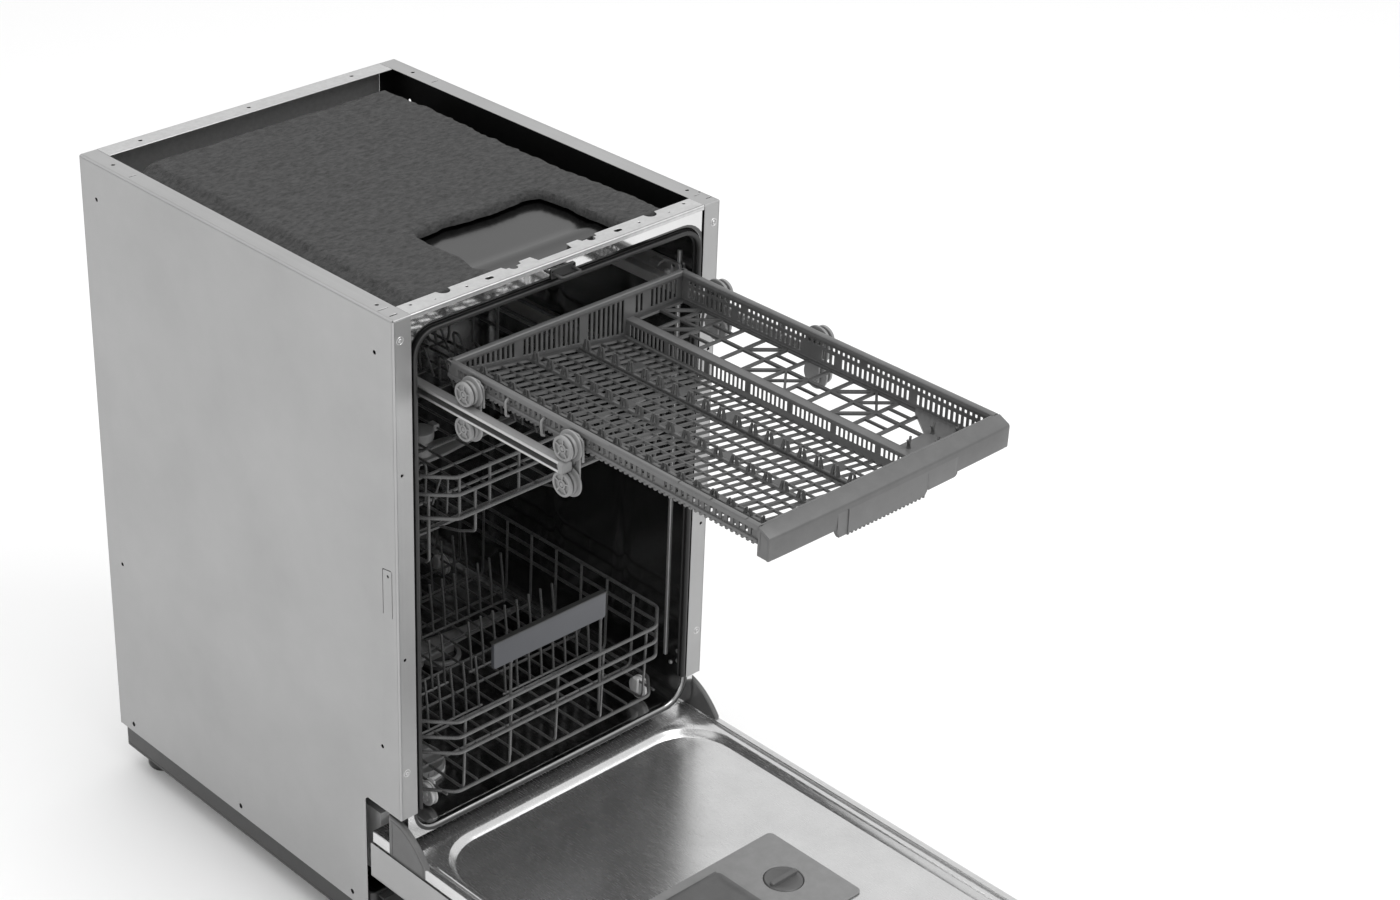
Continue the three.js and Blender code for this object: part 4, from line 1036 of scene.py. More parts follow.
def cutlery_tray():
    h, top, step = TRAY["half"], TRAY["top"], TRAY["step"]
    rear, front = TRAY["rear"], TRAY["front"]
    left_holes, right_holes = tray_floor_holes()
    b = Build()
    b.slab("z", TRAY["floor"] + 0.4, TRAY["floor"] + 3.4, rect(step - 1, h - 2, front + 1, rear - 2, 1, 2),
           right_holes, chamfer=0.35)
    flat = Build()
    flat.slab("z", 0.4, 3.4, rect(-h + 2, step - 1.5, front + 1, rear - 2, 1, 2), left_holes, chamfer=0.35)
    b.add([(x, y, z + floor_at(x, y)) for x, y, z in flat.verts], flat.faces)
    b.piece("tray_floor", "shaded_grid_plastic", "tray")
    b = Build()
    split = ROLLER_Y["front"]
    for s in (-1, 1):
        floor = TRAY["left"] if s < 0 else TRAY["floor"]
        wall = rect(front - 0.2, rear - 1, floor + 1, top - 4)
        if s > 0:
            holes = slots_between(front + 8, rear - 12, floor + 22, floor + 26, group=24, gap=7, width=3.4)
            holes += slots_between(front + 8, split - 14, floor + 7, floor + 18, group=14, gap=7, width=3.4)
            holes += slots_between(split + 14, rear - 12, floor + 7, floor + 18, group=14, gap=7, width=3.4)
        else:
            holes = slots_between(front + 7, rear - 12, floor + 5, floor + 12.6, pitch=7.4, width=3.4,
                                  group=16, gap=8)
        b.slab("x", s * (h - 4), s * (h - 2.2), wall, holes, chamfer=0.25)
        lips = (5.0, 6.0) if s > 0 else (5.0, 5.0)
        b.sweep([(s * (h - 3.5), front - 0.2, top), (s * (h - 3.5), rear, top)], rim(*lips), (0, 0, 1))
        b.sweep([(s * (h - 2.4), front + 1, floor + 2), (s * (h - 2.4), rear - 1, floor + 2)],
                rect(-2, 2, -2, 2.4, 0.8, 2), (0, 0, 1))
        y = front + 5
        while y < rear - 8:
            b.block(s * (h - 4.2), s * (h - 0.4), y, y + 3.2, floor - 2, floor + 2.4, 0.5)
            y += 6.6
    for a, z in ((-335, 1.5), (-376, 1.1), (-421, 0.7)):
        b.sweep([(-h + 2.6, a, top), (-h + 2.6, split - 45 if a == -335 else a + 40, top)],
                [(-2.2, -0.6), (-2.0, z * 0.7), (-1.5, z), (1.5, z), (2.0, z * 0.7), (2.2, -0.6)], (0, 0, 1))
    for y, lifted in ((rear - 4.4, 0), (front + 1, 7)):
        low = [(x, max(floor_level(x), TRAY["trough"] + lifted) + 1)
               for x in (-h + 2, -80, 0, step - 11, step - 1)]
        outline = low + [(step - 0.9, TRAY["floor"] + 1), (h - 2, TRAY["floor"] + 1), (h - 2, top - 1.5),
                         (-h + 2, top - 1.5)]
        high = top - 9
        holes, x, count = [], -h + 9, 0
        while x < h - 12:
            if abs(x - step) > 6:
                z = max(floor_level(x), floor_level(x + 3.2), TRAY["trough"] + lifted) + 6.5
                holes.append([(x, z), (x + 3.2, z), (x + 3.2, high), (x, high)])
            count += 1
            x += 6.7 if count % 12 else 15.5
        b.slab("y", y, y + 2, outline, holes, chamfer=0.25)
    b.sweep([(-h, rear - 3.5, top), (h, rear - 3.5, top)], rim(5.0, 5.0), (0, 0, 1))
    riser = rect(front + 14, rear - 4, TRAY["trough"] + 1, TRAY["floor"] + 1)
    b.slab("x", step - 1.8, step, riser, slots_between(front + 19, rear - 9, TRAY["trough"] + 3.2,
                                                       TRAY["floor"] - 0.6, pitch=5.9, width=3.9, group=9,
                                                       gap=5), chamfer=0.25)
    corner = [(step - 1.6, front + 1), (h - 2.6, front + 1), (h - 2.6, front + 98), (h - 11, front + 92),
              (h - 37, front + 57), (step + 12, front + 55), (step - 1.6, front + 53)]
    b.slab("z", TRAY["floor"] + 0.9, TRAY["floor"] + 3.9, corner, [], 0.3)
    b.sweep([(step + 3.4, front + 2, TRAY["floor"] + 2.6), (step + 3.4, rear - 4, TRAY["floor"] + 2.6)],
            rect(-5.4, 5.4, -1.8, 1.8, 0.8, 3), (0, 0, 1))
    b.sweep([(step - 3, front + 15, TRAY["trough"] + 1.9), (step - 3, rear - 4, TRAY["trough"] + 1.9)],
            rect(-2.4, 2.4, -1.6, 1.6, 0.8, 2), (0, 0, 1))
    b.block(-h + 1.2, -h + 5.6, rear - 15, rear - 1.4, TRAY["left"] - 2, top - 5, 1.0)
    b.piece("tray_walls", "dark_plastic", "tray", ["cutlery_tray"])
    c = Build()
    prong = rect(-1.5, 1.5, -1.9, 1.9, 0.7, 2)
    for x, tall in ((-132, 10), (-62, 13), (8, 15)):
        base = floor_level(x) + 3
        c.sweep([(x, front + 22, base + 1.6), (x, rear - 10, base + 1.6)], rect(-1.7, 1.7, -2, 2, 0.7, 2),
                (0, 0, 1))
        y = front + 24
        k = 0
        while y < rear - 14:
            lean = 2.2 if k % 2 else -2.2
            c.loft([[(x + u * a, y + lean * d + v * a, base + z) for u, v in prong]
                    for a, d, z in ((1, 0, 2), (0.9, 0.5, tall * 0.6), (0.55, 1, tall))])
            y += 8.2 if k % 2 else 13.4
            k += 1
    floor = TRAY["floor"]
    for x, y in ((92, -390), (131, -386), (112, -408), (146, -404)):
        c.lathe("z", x, y, [(0, floor + 3.4), (2.4, floor + 3.6), (1.8, floor + 6), (1.6, floor + 9),
                            (0, floor + 9)], 10)
        for s in (-1, 1):
            c.tube([(x, y, floor + 7), (x + s * 4.2, y + s * 1.8, floor + 14)], 1.3, 8)
    c.piece("tray_combs", "shaded_grid_plastic", "tray")


def tray_handle():
    b = Build()
    h, top, low, shoulder, grip_low = TRAY["half"], TRAY["top"], 726.0, 750.0, 717.5
    back = TRAY["front"] - 0.3

    def bowed(x):
        return back - 15.5 - 1.5 * (1 - (x / h) ** 2)
    rings = []
    for i in range(41):
        x = -h + 2 * h * i / 40
        f = bowed(x)
        end = 1.2 if i in (0, 40) else 0
        section = [(back - 1, top), (f + 1.4, shoulder + 0.9), (f + 0.3, shoulder - 0.4), (f, shoulder - 2),
                   (f + 0.4, low + 2), (f + 0.9, low + 0.6), (f + 2.2, low), (f + 3.4, low + 0.6),
                   (f + 3.4, shoulder - 3.4), (back - 2.6, top - 5), (back - 2.6, low + 8), (back, low + 8),
                   (back, top - 0.5)]
        cy = sum(p[0] for p in section) / len(section)
        rings.append([(x, y + (cy - y) * end * 0.08, z - (0.5 if end and z > top - 1 else 0))
                      for y, z in section])
    b.loft(rings)
    for s in (-1, 1):
        b.loft([[(s * (h - w), y, z) for y, z in ((back, low + 0.6), (back, top - 0.8),
                                                  (bowed(h) + 1.6, shoulder + 0.2),
                                                  (bowed(h) + 1, low + 0.6))] for w in (0.25, 3.2)])
    for x0, x1, deep in ((-76, 46, low - grip_low), (46.2, 88, 3.8)):
        grip = []
        for i in range(41):
            x = x0 + (x1 - x0) * i / 40
            f = bowed(x)
            drop = deep * min(1, (x - x0) / 4 + 0.45, (x1 - x) / 4 + 0.45)
            grip.append([(x, f + 0.1, low + 18), (x, f - 0.35, low - drop + 1.5), (x, f + 0.6, low - drop),
                         (x, f + 3.8, low - drop), (x, f + 4.6, low - drop + 1.5), (x, f + 4.6, low + 18)])
        b.loft(grip)
    x = -62.0
    while x < 43:
        f = bowed(x)
        b.block(x, x + 2.6, f - 0.3, f + 4.2, grip_low - 1.2, grip_low + 2, 0.5)
        x += 5.4
    b.block(-62.5, -61.7, bowed(-60) - 1.0, bowed(-60) + 1, grip_low, low + 18, 0.2)
    b.piece("tray_front", "dark_plastic", "tray", ["tray_handle"], angle=38)


def rollers_and_rails():
    for name, s in (("left", -1), ("right", 1)):
        for place, y in ROLLER_Y.items():
            for level, z in (("upper", RAIL_Z + RISE), ("lower", RAIL_Z - RISE)):
                b = Build()
                profile = [(3.2, 168.2), (15.4, 168.2), (16, 168.7), (16, 170.1), (15.4, 170.6), (12.2, 171),
                           (11.8, 171.6), (12.6, 172), (12.6, 174.4), (12, 174.9), (9.4, 175.2), (9.4, 176.9),
                           (12.4, 177.2), (13, 177.7), (13, 180.2), (12.3, 181), (10.6, 181), (10, 180.4),
                           (9.8, 178.9), (5, 178.9), (5, 180.2), (4.5, 180.7), (3.2, 180.7)]
                b.lathe("x", y, z, [(r, s * x) for r, x in profile], 40, ring=True)
                for a in turns(5, 0.35):
                    bar = [(4.4, -0.7), (10.4, -1.1), (10.4, 1.1), (4.4, 0.7)]
                    turned = [(y + u * math.cos(a) - v * math.sin(a), z + u * math.sin(a) + v * math.cos(a))
                              for u, v in bar]
                    b.slab("x", s * 178.2, s * 180.4, turned, [], 0.35)
                node = f"{name}_{place}_{level}_roller"
                b.piece(node + "_disc", "grey_plastic", f"{name}_{place}_{level}_wheel", [node])
        k = Build()
        for place, y in ROLLER_Y.items():
            k.slab("x", s * 163.6, s * 166.2, rect(y - 9, y + 9, RAIL_Z - RISE - 8, TRAY["top"] - 3, 5, 4),
                   [circle(y, RAIL_Z, 3.4, 16)], 0.5)
            for z in (RAIL_Z + RISE, RAIL_Z - RISE):
                k.lathe("x", y, z, [(0, s * 164), (6.4, s * 164), (6.4, s * 166.8), (4.6, s * 167.4),
                                    (2.6, s * 167.9), (2.6, s * 180.4), (2.1, s * 180.9), (0, s * 180.9)], 20)
            k.tube([(s * 165.2, y + 12, 727), (s * 165.6, y + 12, 751), (s * 165.6, y - 13, 751),
                    (s * 165.2, y - 13, 727)], 1.4, 10, bend=6)
            k.lathe("x", y, RAIL_Z, [(0, s * 164), (3, s * 164), (3, s * 167), (2, s * 167.6),
                                     (0, s * 167.6)], 16)
        for y in (ROLLER_Y["rear"] - 46, ROLLER_Y["front"] + 46):
            k.tube([(s * 161.5, y, TRAY["top"] - 8), (s * 165.4, y, TRAY["top"] - 9), (s * 165.4, y, 732),
                    (s * 161.5, y, 730)], 1.3, 8, bend=3)
        k.piece(f"{name}_roller_carrier", "grey_plastic", "tray", [f"{name}_tray_bracket"])
        r = Build()
        low, high = RAIL_Z - 6, RAIL_Z + 6
        section = [(0.2, -6), (11.8, -6), (12, -5.6), (12, -3.2), (10.8, -3.2), (10.6, -4.6), (2.4, -4.6),
                   (2, -4.2), (2, 4.2), (2.4, 4.6), (10.6, 4.6), (10.8, 3.2), (12, 3.2), (12, 5.4), (11.4, 6),
                   (0.8, 6), (0.2, 5.4)]
        r.loft([[(s * (RAIL_X + x), y, RAIL_Z + z) for x, z in section] for y in (-196.8, 228)])
        r.piece(f"{name}_rail_profile", "rail_steel", f"{name}_rail_bar", [f"{name}_rail"], angle=25)
        # painted shade: a black strip at the back of each rail's groove, standing in for the shade inside the
        # channel
        groove_shade = Build()
        groove_shade.loft([[(s * (RAIL_X + x), y, RAIL_Z + z) for x, z in rect(2.2, 3.6, -4, 4, 0.6, 2)]
                    for y in (-196.4, 227.6)])
        groove_shade.piece(f"{name}_rail_groove_shade_strip", "black_plastic", f"{name}_rail_bar")
        e = Build()
        e.loft([[(s * (RAIL_X + x), y, RAIL_Z + z) for x, z in rect(-0.4, 12.6, -6.6 + d, 6.6 - d, 2, 3)]
                for y, d in ((-202.5, 1.6), (-201.6, 0.3), (-196.9, 0))])
        e.block(s * (RAIL_X + 4), s * (RAIL_X + 9), -197.2, -191, low + 1.6, high - 1.6, 0.6)
        e.piece(f"{name}_rail_end_stop", "grey_plastic", f"{name}_rail_bar")
        g = Build()
        g.slab("x", s * 194.6, s * 198.4, rect(28, 206, RAIL_Z - 16, RAIL_Z + 16, 4, 3),
               [circle(y, RAIL_Z + z, 2, 12) for y in (38, 196) for z in (-10, 10)], 0.6)
        for y in (46, 186):
            g.lathe("x", y, RAIL_Z, [(0, s * 194), (5.5, s * 194.4), (5, s * 188.4), (2.4, s * 186),
                                     (2.4, s * 183), (2.75, s * 182.6), (2.75, s * 176.4), (2, s * 176.1),
                                     (0, s * 176.1)], 20)
        g.loft([[(s * x, y, RAIL_Z + z) for x, z in ((196, 10.5), (189.5, 10.5), (186, 8.2), (185, 8.2),
                                                     (185, 9.4), (188, 12.4), (196, 14))] for y in (52, 66)])
        g.piece(f"{name}_rail_holder", "rail_steel", "cabinet", [f"{name}_rail_guide"])


# ------------------------------------------------------------------ wire baskets

BASKET = {"half": 176.0, "bend": 146.0, "front": -4.0, "back": 446.0, "chamfer": 30.0}


def basket_ring(b, z, inset_by=0.0, r=2.1):
    """A closed wire round the basket at one height, with its front corners cut off."""
    h, f = BASKET["half"] - inset_by, BASKET["front"] + inset_by
    k = BASKET["back"] - inset_by
    m = BASKET["bend"] - inset_by * 0.4
    b.tube([(-h, k, z), (-h, f + BASKET["chamfer"], z), (-m, f, z), (m, f, z), (h, f + BASKET["chamfer"], z),
            (h, k, z)], r, 8, bend=14, closed=True, steps=4)


def side_hoop(b, y, low, high, r=1.7):
    """A wire from side to side, down one wall, across the floor and up the other."""
    h = BASKET["half"]
    b.tube([(-h + 3.2, y, high), (-h + 5, y, low + 3.8), (h - 5, y, low + 3.8), (h - 3.2, y, high)], r, 6,
           bend=9)


SLOPE = {"from": 566.0, "y": 62.0}  # the upper basket's floor rises to its lowest front wire


def end_hoop(b, x, low, high, r=1.7, sloped=False):
    """A wire from front to back."""
    f, k = BASKET["front"], BASKET["back"]
    sill = [(x, f + 3.4, SLOPE["from"]), (x, SLOPE["y"], low + 3.4)] if sloped else [(x, f + 7, low + 3.4)]
    b.tube([(x, f + 3.2, high), *sill, (x, k - 7, low + 3.4), (x, k - 3.2, high)], r, 6, bend=9)


def upper_basket():
    b = Build()
    for z in (614, 593, 565):
        basket_ring(b, z)
    h = BASKET["half"] - 6
    b.tube([(-h, 62, 516), (h, 62, 516), (h, 440, 516), (-h, 440, 516)], 2.0, 8, bend=12, closed=True,
           steps=4)
    for y in (64, 108, 152, 196, 300, 344, 388, 430):
        side_hoop(b, y, 514, 614)
    for x in (-141, -100, -60, 60, 100, 141):
        end_hoop(b, x, 514, 614, sloped=True)
    for x in (-155, -120, -80, -40, -20, 20, 40, 80, 120, 155):
        b.tube([(x, 62, 517), (x, 436, 517)], 1.5, 6)
    for x, lean in ((-150, 10), (-96, 8), (96, -8), (150, -10)):
        y = 74.0
        while y < 420:
            b.tube([(x, y, 519), (x + lean, y + 7, 556), (x + lean, y + 17, 556), (x, y + 24, 519)], 1.5, 6,
                   bend=7)
            y += 36
    for x in (-162, 162):
        b.tube([(x, 24, 590), (x, 24, 506), (x, 60, 503), (x, 84, 516)], 1.8, 8, bend=8)
    for x in (-120, 20, 120):
        b.tube([(x, -1, 592), (x, -1, 540), (x, 26, 528), (x, 64, 518)], 1.6, 8, bend=6)
    b.piece("upper_basket_wires", "wire_coat", "upper_rack", ["upper_basket"])
    p = Build()
    p.sweep([(0, 428, 515), (0, 238, 515)], rect(-5, 5, -4, 4, 2.5, 3), (0, 0, 1))
    p.lathe("z", *FEED, [(0, 499.2), (8.6, 499.2), (9, 500), (9, 506), (15, 508), (16, 511), (16, 519),
                         (13, 521), (0, 521.5)], 28)
    p.lathe("y", 0, 515, [(0, 426), (8, 426), (10, 430), (10, 438), (8, 440), (0, 440)], 24)
    for x in (-20, 20):
        p.block(x - 4, x + 4, 229, 241, 513, 521, 1)
        p.tube([(x * 0.7, 235, 515), (x, 235, 516)], 3, 8)
    p.piece("upper_feed_pipe", "grey_plastic", "upper_rack")
    w = Build()
    for s in (-1, 1):
        for y in (70, 370):
            w.lathe("x", y, 590, [(0, s * 178), (4, s * 178), (4, s * 180), (10, s * 180.6),
                                  (10.4, s * 181.4), (10.4, s * 188.4), (9.6, s * 189), (6, s * 189),
                                  (5, s * 187.6), (0, s * 187.6)], 28)
        w.block(s * 173.6, s * 178.4, 60, 80, 584, 596, 1.2)
        w.block(s * 173.6, s * 178.4, 360, 380, 584, 596, 1.2)
    w.piece("upper_basket_wheels", "grey_plastic", "upper_rack")
    c = Build()
    for s in (-1, 1):
        c.loft([[(s * x, y, z) for x, z in ((198.6, 576), (190, 576), (190, 578.8), (191.2, 578.8),
                                            (191.2, 577.4), (197.4, 577.4), (197.4, 602.6), (191.2, 602.6),
                                            (191.2, 601.2), (190, 601.2), (190, 604), (198.6, 604))]
                for y in (30, 440)])
    c.piece("upper_basket_channels", "rail_steel", "cabinet", slot="stainless_steel")


def lower_basket():
    b = Build()
    for z in (313, 293, 273):
        basket_ring(b, z)
    basket_ring(b, 218, 6)
    for y in (62, 106, 150, 194, 238, 282, 326, 370, 414):
        side_hoop(b, y, 214, 313)
    for x in (-134, -68, 0, 68, 134):
        end_hoop(b, x, 214, 313)
    for x in (-155, -112, -90, -45, -22, 22, 45, 90, 112, 155):
        b.tube([(x, 6, 218), (x, 436, 218)], 1.5, 6)
    for x0, x1 in ((-150, -20), (20, 150)):
        for row, lean in ((110, 6), (170, 6), (262, 6), (330, 6)):
            x = x0
            while x <= x1:
                b.tube([(x, row, 218), (x, row + 2, 250), (x, row + lean, 284)], 1.6, 6)
                x += 18.5
            b.tube([(x0 - 4, row, 220), (x1 + 4, row, 220)], 1.6, 6)
    b.piece("lower_basket_wires", "wire_coat", "lower_rack", ["lower_basket"])
    h = Build()
    for x in (-56, 77):
        h.tube([(x, 15, 220.5), (x, 15, 350)], 1.7, 8)
    h.piece("handle_wires", "wire_coat", "lower_rack")
    g = Build()
    section = [(-2.6, -16.2), (-1.8, -16.8), (1.8, -16.8), (2.6, -16.2), (2.6, 16.2), (1.8, 16.8),
               (-1.8, 16.8), (-2.6, 16.2)]
    rings = []
    for x, k in ((-82, 0.86), (-81.2, 0.97), (-79.5, 1), (79.5, 1), (81.2, 0.97), (82, 0.86)):
        rings.append([(x, 15 + y * k, 361.2 + z * k) for y, z in section])
    g.loft(rings)
    for x in (-56, 77):
        g.lathe("z", x, 15, [(0, 343), (2.5, 343), (2.5, 346), (0, 346)], 12)
    g.piece("basket_handle_plate", "handle_plastic", "lower_rack", ["lower_basket_handle"])
    lip = Build()
    lip.loft([[(x, 15 + y * k, 377.6 + z) for y, z in rect(-3.8, 3.2, -0.9, 0.9, 0.5, 3)]
              for x, k in ((-84, 0.8), (-83.4, 1), (82.4, 1), (83, 0.8))])
    lip.piece("basket_handle_lip", "black_plastic", "lower_rack")
    w = Build()
    for s in (-1, 1):
        for y, x, z in ((34, 154.6, 206.6), (392, 154.6, 206.6)):
            profile = [(0, 0), (3, 0), (3, 0.6), (13, 0.8), (13.8, 1.4), (13.8, 3.2), (12.2, 3.6),
                       (12.2, 6.4), (13.8, 6.8), (13.8, 8.4), (13, 9), (10, 9), (9, 8), (4, 8), (4, 9.2),
                       (0, 9.2)]
            w.lathe("x", y, z, [(r, s * (x + d)) for r, d in profile], 32)
            w.block(s * (x - 3.4), s * (x + 0.4), y - 5, y + 5, z - 4, z + 15, 1.4)
            for a in turns(6):
                cy, cz = y + 6.6 * math.cos(a), z + 6.6 * math.sin(a)
                w.block(s * (x + 7.8), s * (x + 9), cy - 1, cy + 1, cz - 1, cz + 1, 0.3)
    w.piece("lower_basket_wheels", "pale_plastic", "lower_rack")


# ------------------------------------------------------------------ door, drawn shut

DOOR = {"half": 223.0, "face": 2.0, "back": -58.0, "below": -60.0, "above": 637.0}
DISPENSER_Z = 285.0
KEYS = {"power": -180, "start": 180, "program": -120}  # their places from side to side


def door_liner():
    b = Build(on_door)
    high = DOOR["above"] - 40
    steps = [(221, -60, high, 3, -42), (221, -60, high, 3, 0.6), (220.6, -59.6, high - 0.4, 3, 1.5),
             (219.6, -58.6, high - 1.4, 3, 2.0), (213, -52, high - 8, 4, 2.0),
             (212.2, -51.2, high - 8.8, 4, 1.4), (211.4, -50.4, high - 9.6, 5, -1.8),
             (208.8, -47.8, high - 12.2, 6, -1.8), (208, -47, high - 13, 6, 0.4),
             (207.2, -46, high - 13.8, 7, 1.2), (204, 2, high - 18, 56, 1.2),
             (202.6, 5.5, high - 20, 58, 0.8), (201, 8.6, high - 21.4, 60, -0.4),
             (199.6, 10.6, high - 22.6, 61, -3), (198, 12.4, high - 24.4, 60, -5.6),
             (195.6, 15, high - 27, 58, -7.4), (192, 19, high - 31, 55, -8.0), (184, 28, high - 40, 48, -8.0)]

    def ring(step, down=0.0, inwards=0.0):
        x, z0, z1, r, y = step
        return [(u, y - down, v) for u, v in rect(-x + inwards, x - inwards, z0 + inwards, z1 - inwards, r,
                                                  8)]
    top = [ring(s) for s in steps]
    under = [ring(s, 1.0 if i > 1 else 0.0, 1.0 if i < 3 else 0.0) for i, s in enumerate(steps)]
    b.loft(top + under[::-1], closed=True)
    last = [(u, v) for u, _, v in top[-1]]
    well = rect(-115, 115, DISPENSER_Z - 67, DISPENSER_Z + 67, 6, 4)
    b.slab("y", -9, -8, last, [well], chamfer=0.0)
    b.piece("door_liner_sheet", "bright_steel", "door", ["door_inner_liner"], angle=24)


def door_outer():
    b = Build(on_door)
    half, back, low, high = DOOR["half"], DOOR["back"], DOOR["below"], DOOR["above"]
    holes = [circle(x, z, 2.6, 14) for x in (-190, 190) for z in (0, 560)]
    holes += [rect(x - 9, x + 9, z - 2.4, z + 2.4, 2.3, 4) for x in (-150, 150) for z in (120, 470)]
    b.slab("y", back, back + 1, rect(-half + 1.6, half - 1.6, low, high - 0.4, 0.8, 2), holes)
    for s in (-1, 1):
        bend(b, (s * half, back), (-s, 0), (0, 1), 1.6, 1, "z", low, high - 0.4)
        b.slab("x", s * (half - 1), s * half, rect(back + 1.6, -12, low, high - 42, 2, 3), [])
    b.piece("door_outer_sheet", "panel_paint", "door", ["door_outer_panel"], slot="galvanised_steel")


def fascia():
    b = Build(on_door)
    half, face, back, top = DOOR["half"] - 0.5, DOOR["face"], -56.7, DOOR["above"]
    low = top - 39.5
    wells = [circle(x, -26, 8.5, 28) for x in KEYS.values()]
    window = rect(-42, 42, -38, -14, 2, 4)
    b.slab("z", top - 4, top, rect(-half, half, back, face, 4, 4), wells + [window], chamfer=1.0)
    tray = [(-half, face - 3), (-half, back), (half, back), (half, face - 3), (half - 3, face - 3),
            (half - 3, back + 3), (-half + 3, back + 3), (-half + 3, face - 3)]
    b.slab("z", low, top - 3.6, tray, [], chamfer=0.6)
    pocket = [(-26, face - 1.6), (-26, face - 24), (26, face - 24), (26, face - 1.6), (24.6, face - 1.6),
              (24.6, face - 22.6), (-24.6, face - 22.6), (-24.6, face - 1.6)]
    b.slab("z", top - 26, top - 4.2, pocket, [], chamfer=0.3)
    latch_slot = rect(-23.6, 23.6, top - 24, top - 6, 3, 4)
    b.slab("y", face - 3.2, face, rect(-half, half, low, top - 3.8, 2, 3), [latch_slot], chamfer=0.8)
    for x in (-200, -100, 100, 200):
        b.slab("z", low + 6, low + 8, rect(x - 20, x + 20, back + 4, face - 10, 1, 2), [], 0.3)
    b.piece("fascia_moulding", "black_plastic", "door", ["control_fascia"])
    for name, x in KEYS.items():
        k = Build(on_door)
        k.lathe("z", x, -26, [(0, top - 11), (5, top - 11), (5, top - 6), (7.8, top - 5.4), (7.9, top - 1),
                              (7.4, top - 0.3), (6.6, top - 0.1), (4, top - 0.7), (0, top - 0.9)], 32)
        k.piece(f"{name}_key_cap", "dark_plastic", f"{name}_key", [f"{name}_button"])
    g = Build(on_door)
    rings = [[(u, v, z) for u, v in rect(-41.6 + d, 41.6 - d, -37.6 + d, -14.4 - d, 2, 4)] for z, d in
             ((top - 5.4, 0), (top - 0.5, 0), (top - 0.15, 0.4), (top - 0.1, 1.2))]
    g.loft(rings)
    g.piece("display_glass_pane", "window_glass", "door", ["display_window"])


def dispenser():
    b = Build(on_door)
    z, face = DISPENSER_Z, DOOR["face"]
    cup = rect(-97, 17, z - 49, z + 49, 9, 5)
    round_hole = circle(66, z, 22, 36)
    b.slab("y", face - 10, face - 7, rect(-116, 116, z - 68, z + 68, 7, 5), [cup, round_hole], chamfer=0.9)
    b.slab("y", face - 33, face - 9, rect(-112, 112, z - 64, z + 64, 5, 4), [cup, round_hole], chamfer=0.5)
    b.slab("y", face - 34, face - 31, rect(-111, 111, z - 63, z + 63, 5, 4), [], chamfer=0.5)
    b.sweep([(u, face - 7.2, v) for u, v in rect(-100, 20, z - 52, z + 52, 10, 5)],
            rect(-0.8, 0.8, -0.6, 0.7, 0.4, 2), (0, 1, 0), closed=True)
    for k in range(3):
        b.block(-88 + k * 34, -86.6 + k * 34, face - 31, face - 25, z - 40, z + 40, 0.3)
    b.piece("dispenser_body", "grey_plastic", "door", ["dispenser_housing"])
    lid = Build(on_door)
    rings = [[(u, y, v) for u, v in rect(-100 + d, 20 - d, z - 54 + d, z + 54 - d, 8, 5)] for y, d in
             ((-4.6, 0.3), (-3.2, 0), (-2.4, 0.5), (-2.2, 1.4), (-2.3, 6), (-2.9, 8))]
    lid.loft(rings)
    for k in range(3):
        lid.block(-52 + k * 9, -47.4 + k * 9, -3.2, -1.9, z + 34, z + 49, 0.5)
    lid.block(-46, -34, -13.4, -4.2, z + 44, z + 46.6, 0.6)
    for s in (-1, 1):
        lid.lathe("x", -3.6, z - 53, [(0, -40 + s * 45), (1.6, -40 + s * 45), (1.6, -40 + s * 57),
                                      (0, -40 + s * 57)], 12)
    lid.piece("detergent_flap_plate", "dark_plastic", "detergent_flap", ["detergent_lid"])
    cap = Build(on_door)
    cap.lathe("y", 66, z, [(0, -19), (15, -19), (15, -10), (20.6, -9), (21.3, -8), (21.3, -6), (20.2, -5),
                           (15, -5.2), (13, -6), (0, -6.2)], 40)
    cap.loft([[(u, y, v) for u, v in rect(66 - 19 + d, 66 + 19 - d, z - 3 + d * 0.6, z + 3 - d * 0.6, 2, 3)]
              for y, d in ((-7, 0), (-2.3, 0.2), (-1.6, 1))])
    for a in turns(20):
        cx, cz = 66 + 20.6 * math.cos(a), z + 20.6 * math.sin(a)
        cap.block(cx - 0.6, cx + 0.6, -8.6, -5.8, cz - 0.6, cz + 0.6, 0.2)
    cap.piece("rinse_cap_turned", "dark_plastic", "rinse_cap", ["rinse_aid_cap"])


def hinge_covers():
    for name, s in (("left", -1), ("right", 1)):
        b = Build(on_door)
        curve = [(38.5 * (1 - t) ** 2 + 31 * 2 * t * (1 - t) + 4 * t * t,
                  -12 * (1 - t) ** 2 + 13.5 * 2 * t * (1 - t) + 33 * t * t)
                 for t in (k / 12 for k in range(13))]
        outline = [(-18, -30), (40, -30)] + curve + [(-18, 33)]
        b.slab("x", s * 214.7, s * 221.2, outline, [], chamfer=1.2)
        small = inset(outline if area(outline) > 0 else outline[::-1], 4.5)
        b.slab("x", s * 221, s * 221.6, small, [inset(small, 2.0)], chamfer=0.2)
        b.piece(f"{name}_hinge_shield", "dark_plastic", "door", [f"{name}_hinge_cover"])


CARRIED = {"counterweight": "cast_block", "sump": "black_plastic", "circulation_pump": "black_plastic",
           "drain_pump": "black_plastic", "softener_tank": "white_plastic", "air_break": "white_plastic",
           "inlet_valve": "white_plastic",}

# ------------------------------------------------------------------ all pieces

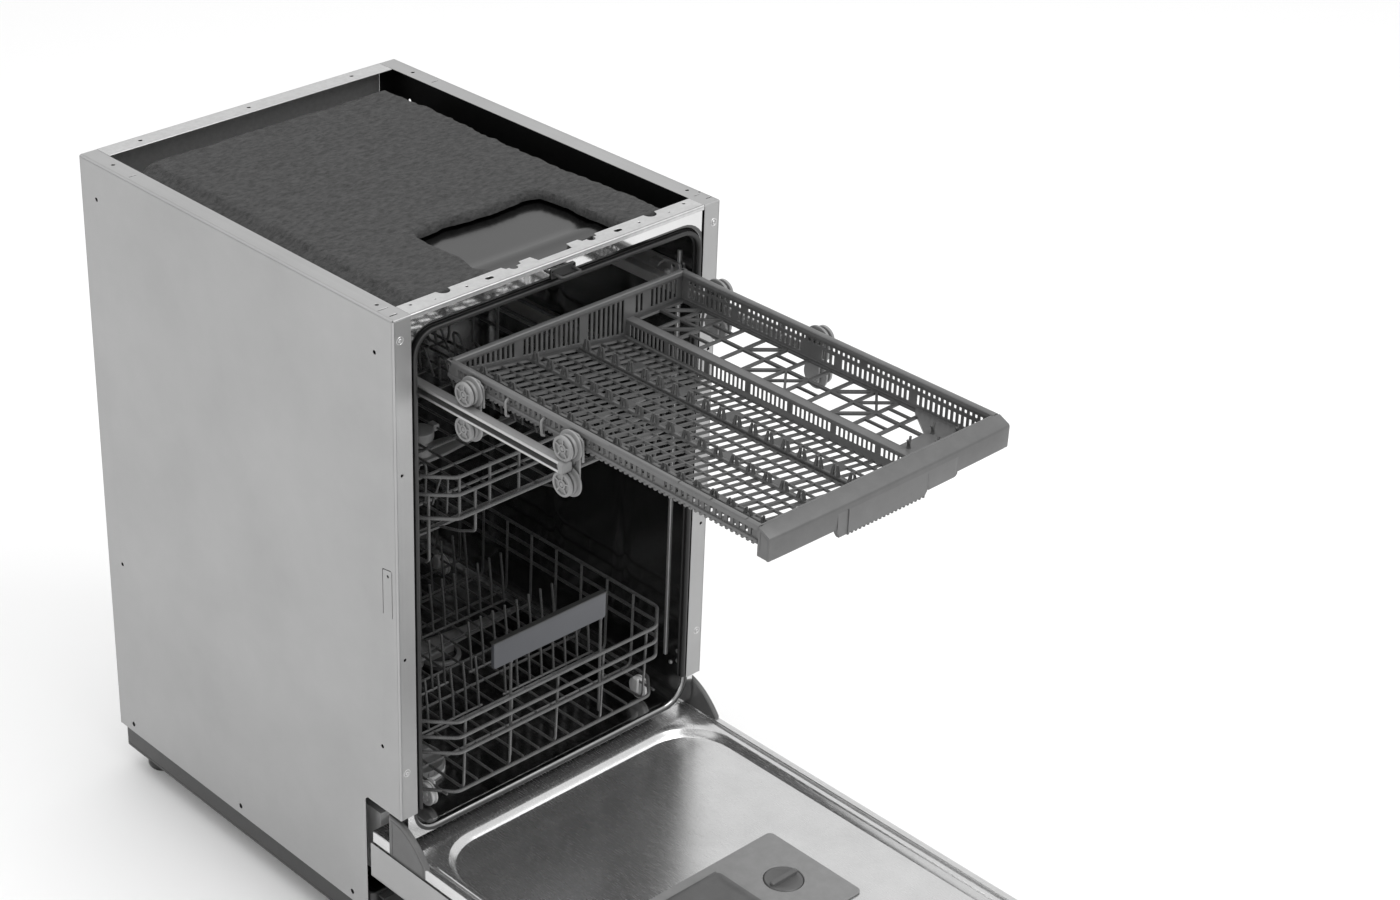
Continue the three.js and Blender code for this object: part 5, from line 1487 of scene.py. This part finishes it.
side_panel("left_side_panel", -1)
side_panel("right_side_panel", 1)
flange_rings()
crossbar()
tub()
gasket()
blanket()
rear_panel()
base_parts()
water_parts()
spray_arm("ceiling_spray_arm", *FEED, 763, 150, True, "ceiling_arm")
spray_arm("upper_spray_arm", *FEED, 482, 160, True, "upper_arm")
spray_arm("lower_spray_arm", *SUMP, 204, 165, False, "lower_arm")
cutlery_tray()
tray_handle()
rollers_and_rails()
upper_basket()
lower_basket()
door_liner()
door_outer()
fascia()
dispenser()
hinge_covers()

for node, finish_name in CARRIED.items():
    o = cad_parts[node]
    o.data.materials.clear()
    o.data.materials.append(MATERIALS[finish_name])
    softened = o.modifiers.new("edges", "BEVEL")
    softened.width, softened.segments, softened.limit_method = 1.2 * MM, 2, "ANGLE"

# ------------------------------------------------------------------ stage, light and camera

floor_mesh = bpy.data.meshes.new("floor")
floor_mesh.from_pydata([(-30, -30, 0), (30, -30, 0), (30, 30, 0), (-30, 30, 0)], [], [(0, 1, 2, 3)])
floor = bpy.data.objects.new("floor", floor_mesh)
bpy.context.scene.collection.objects.link(floor)
floor_finish = bpy.data.materials.new("studio_floor")
floor_finish.use_nodes = True
floor_finish.node_tree.nodes["Principled BSDF"].inputs["Base Color"].default_value = (0.9, 0.9, 0.9, 1)
floor_finish.node_tree.nodes["Principled BSDF"].inputs["Roughness"].default_value = 0.9
floor_mesh.materials.append(floor_finish)

world = bpy.data.worlds.new("studio")
world.use_nodes = True
world.node_tree.nodes["Background"].inputs["Color"].default_value = (1, 1, 1, 1)
world.node_tree.nodes["Background"].inputs["Strength"].default_value = 0.95
bpy.context.scene.world = world
bpy.context.scene.view_settings.view_transform = "Standard"


def softbox(name, place, target, size, power):
    data = bpy.data.lights.new(name, "AREA")
    data.shape = "RECTANGLE"
    data.size, data.size_y = size
    data.energy = power
    o = bpy.data.objects.new(name, data)
    o.location = place
    o.rotation_euler = (Vector(target) - Vector(place)).to_track_quat("-Z", "Y").to_euler()
    bpy.context.scene.collection.objects.link(o)


softbox("key_light", (0.9, -2.1, 3.6), (0, 0, 0.5), (2.4, 1.8), 62)
softbox("top_light", (-0.4, 0.4, 3.4), (0, 0, 0.5), (2.4, 2.4), 20)
softbox("side_light", (-3.4, -0.6, 1.6), (0, 0, 0.5), (1.6, 1.6), 10)

camera_data = bpy.data.cameras.new("camera")
camera_data.sensor_width = 36
camera_data.lens = 71.43
camera_data.shift_x, camera_data.shift_y = 0.168, -0.0366
camera = bpy.data.objects.new("camera", camera_data)
bpy.context.scene.collection.objects.link(camera)
azimuth, elevation, roll = math.radians(-40.2414), math.radians(27.9317), math.radians(-0.23)
back_way = Vector((math.sin(azimuth) * math.cos(elevation), -math.cos(azimuth) * math.cos(elevation),
                   math.sin(elevation)))
camera.location = (-1.7305, -1.8425, 2.0102)
camera.rotation_mode = "QUATERNION"
camera.rotation_quaternion = (-back_way).to_track_quat("-Z",
                                                       "Y") @ Matrix.Rotation(roll, 3, "Z").to_quaternion()
bpy.context.scene.camera = camera
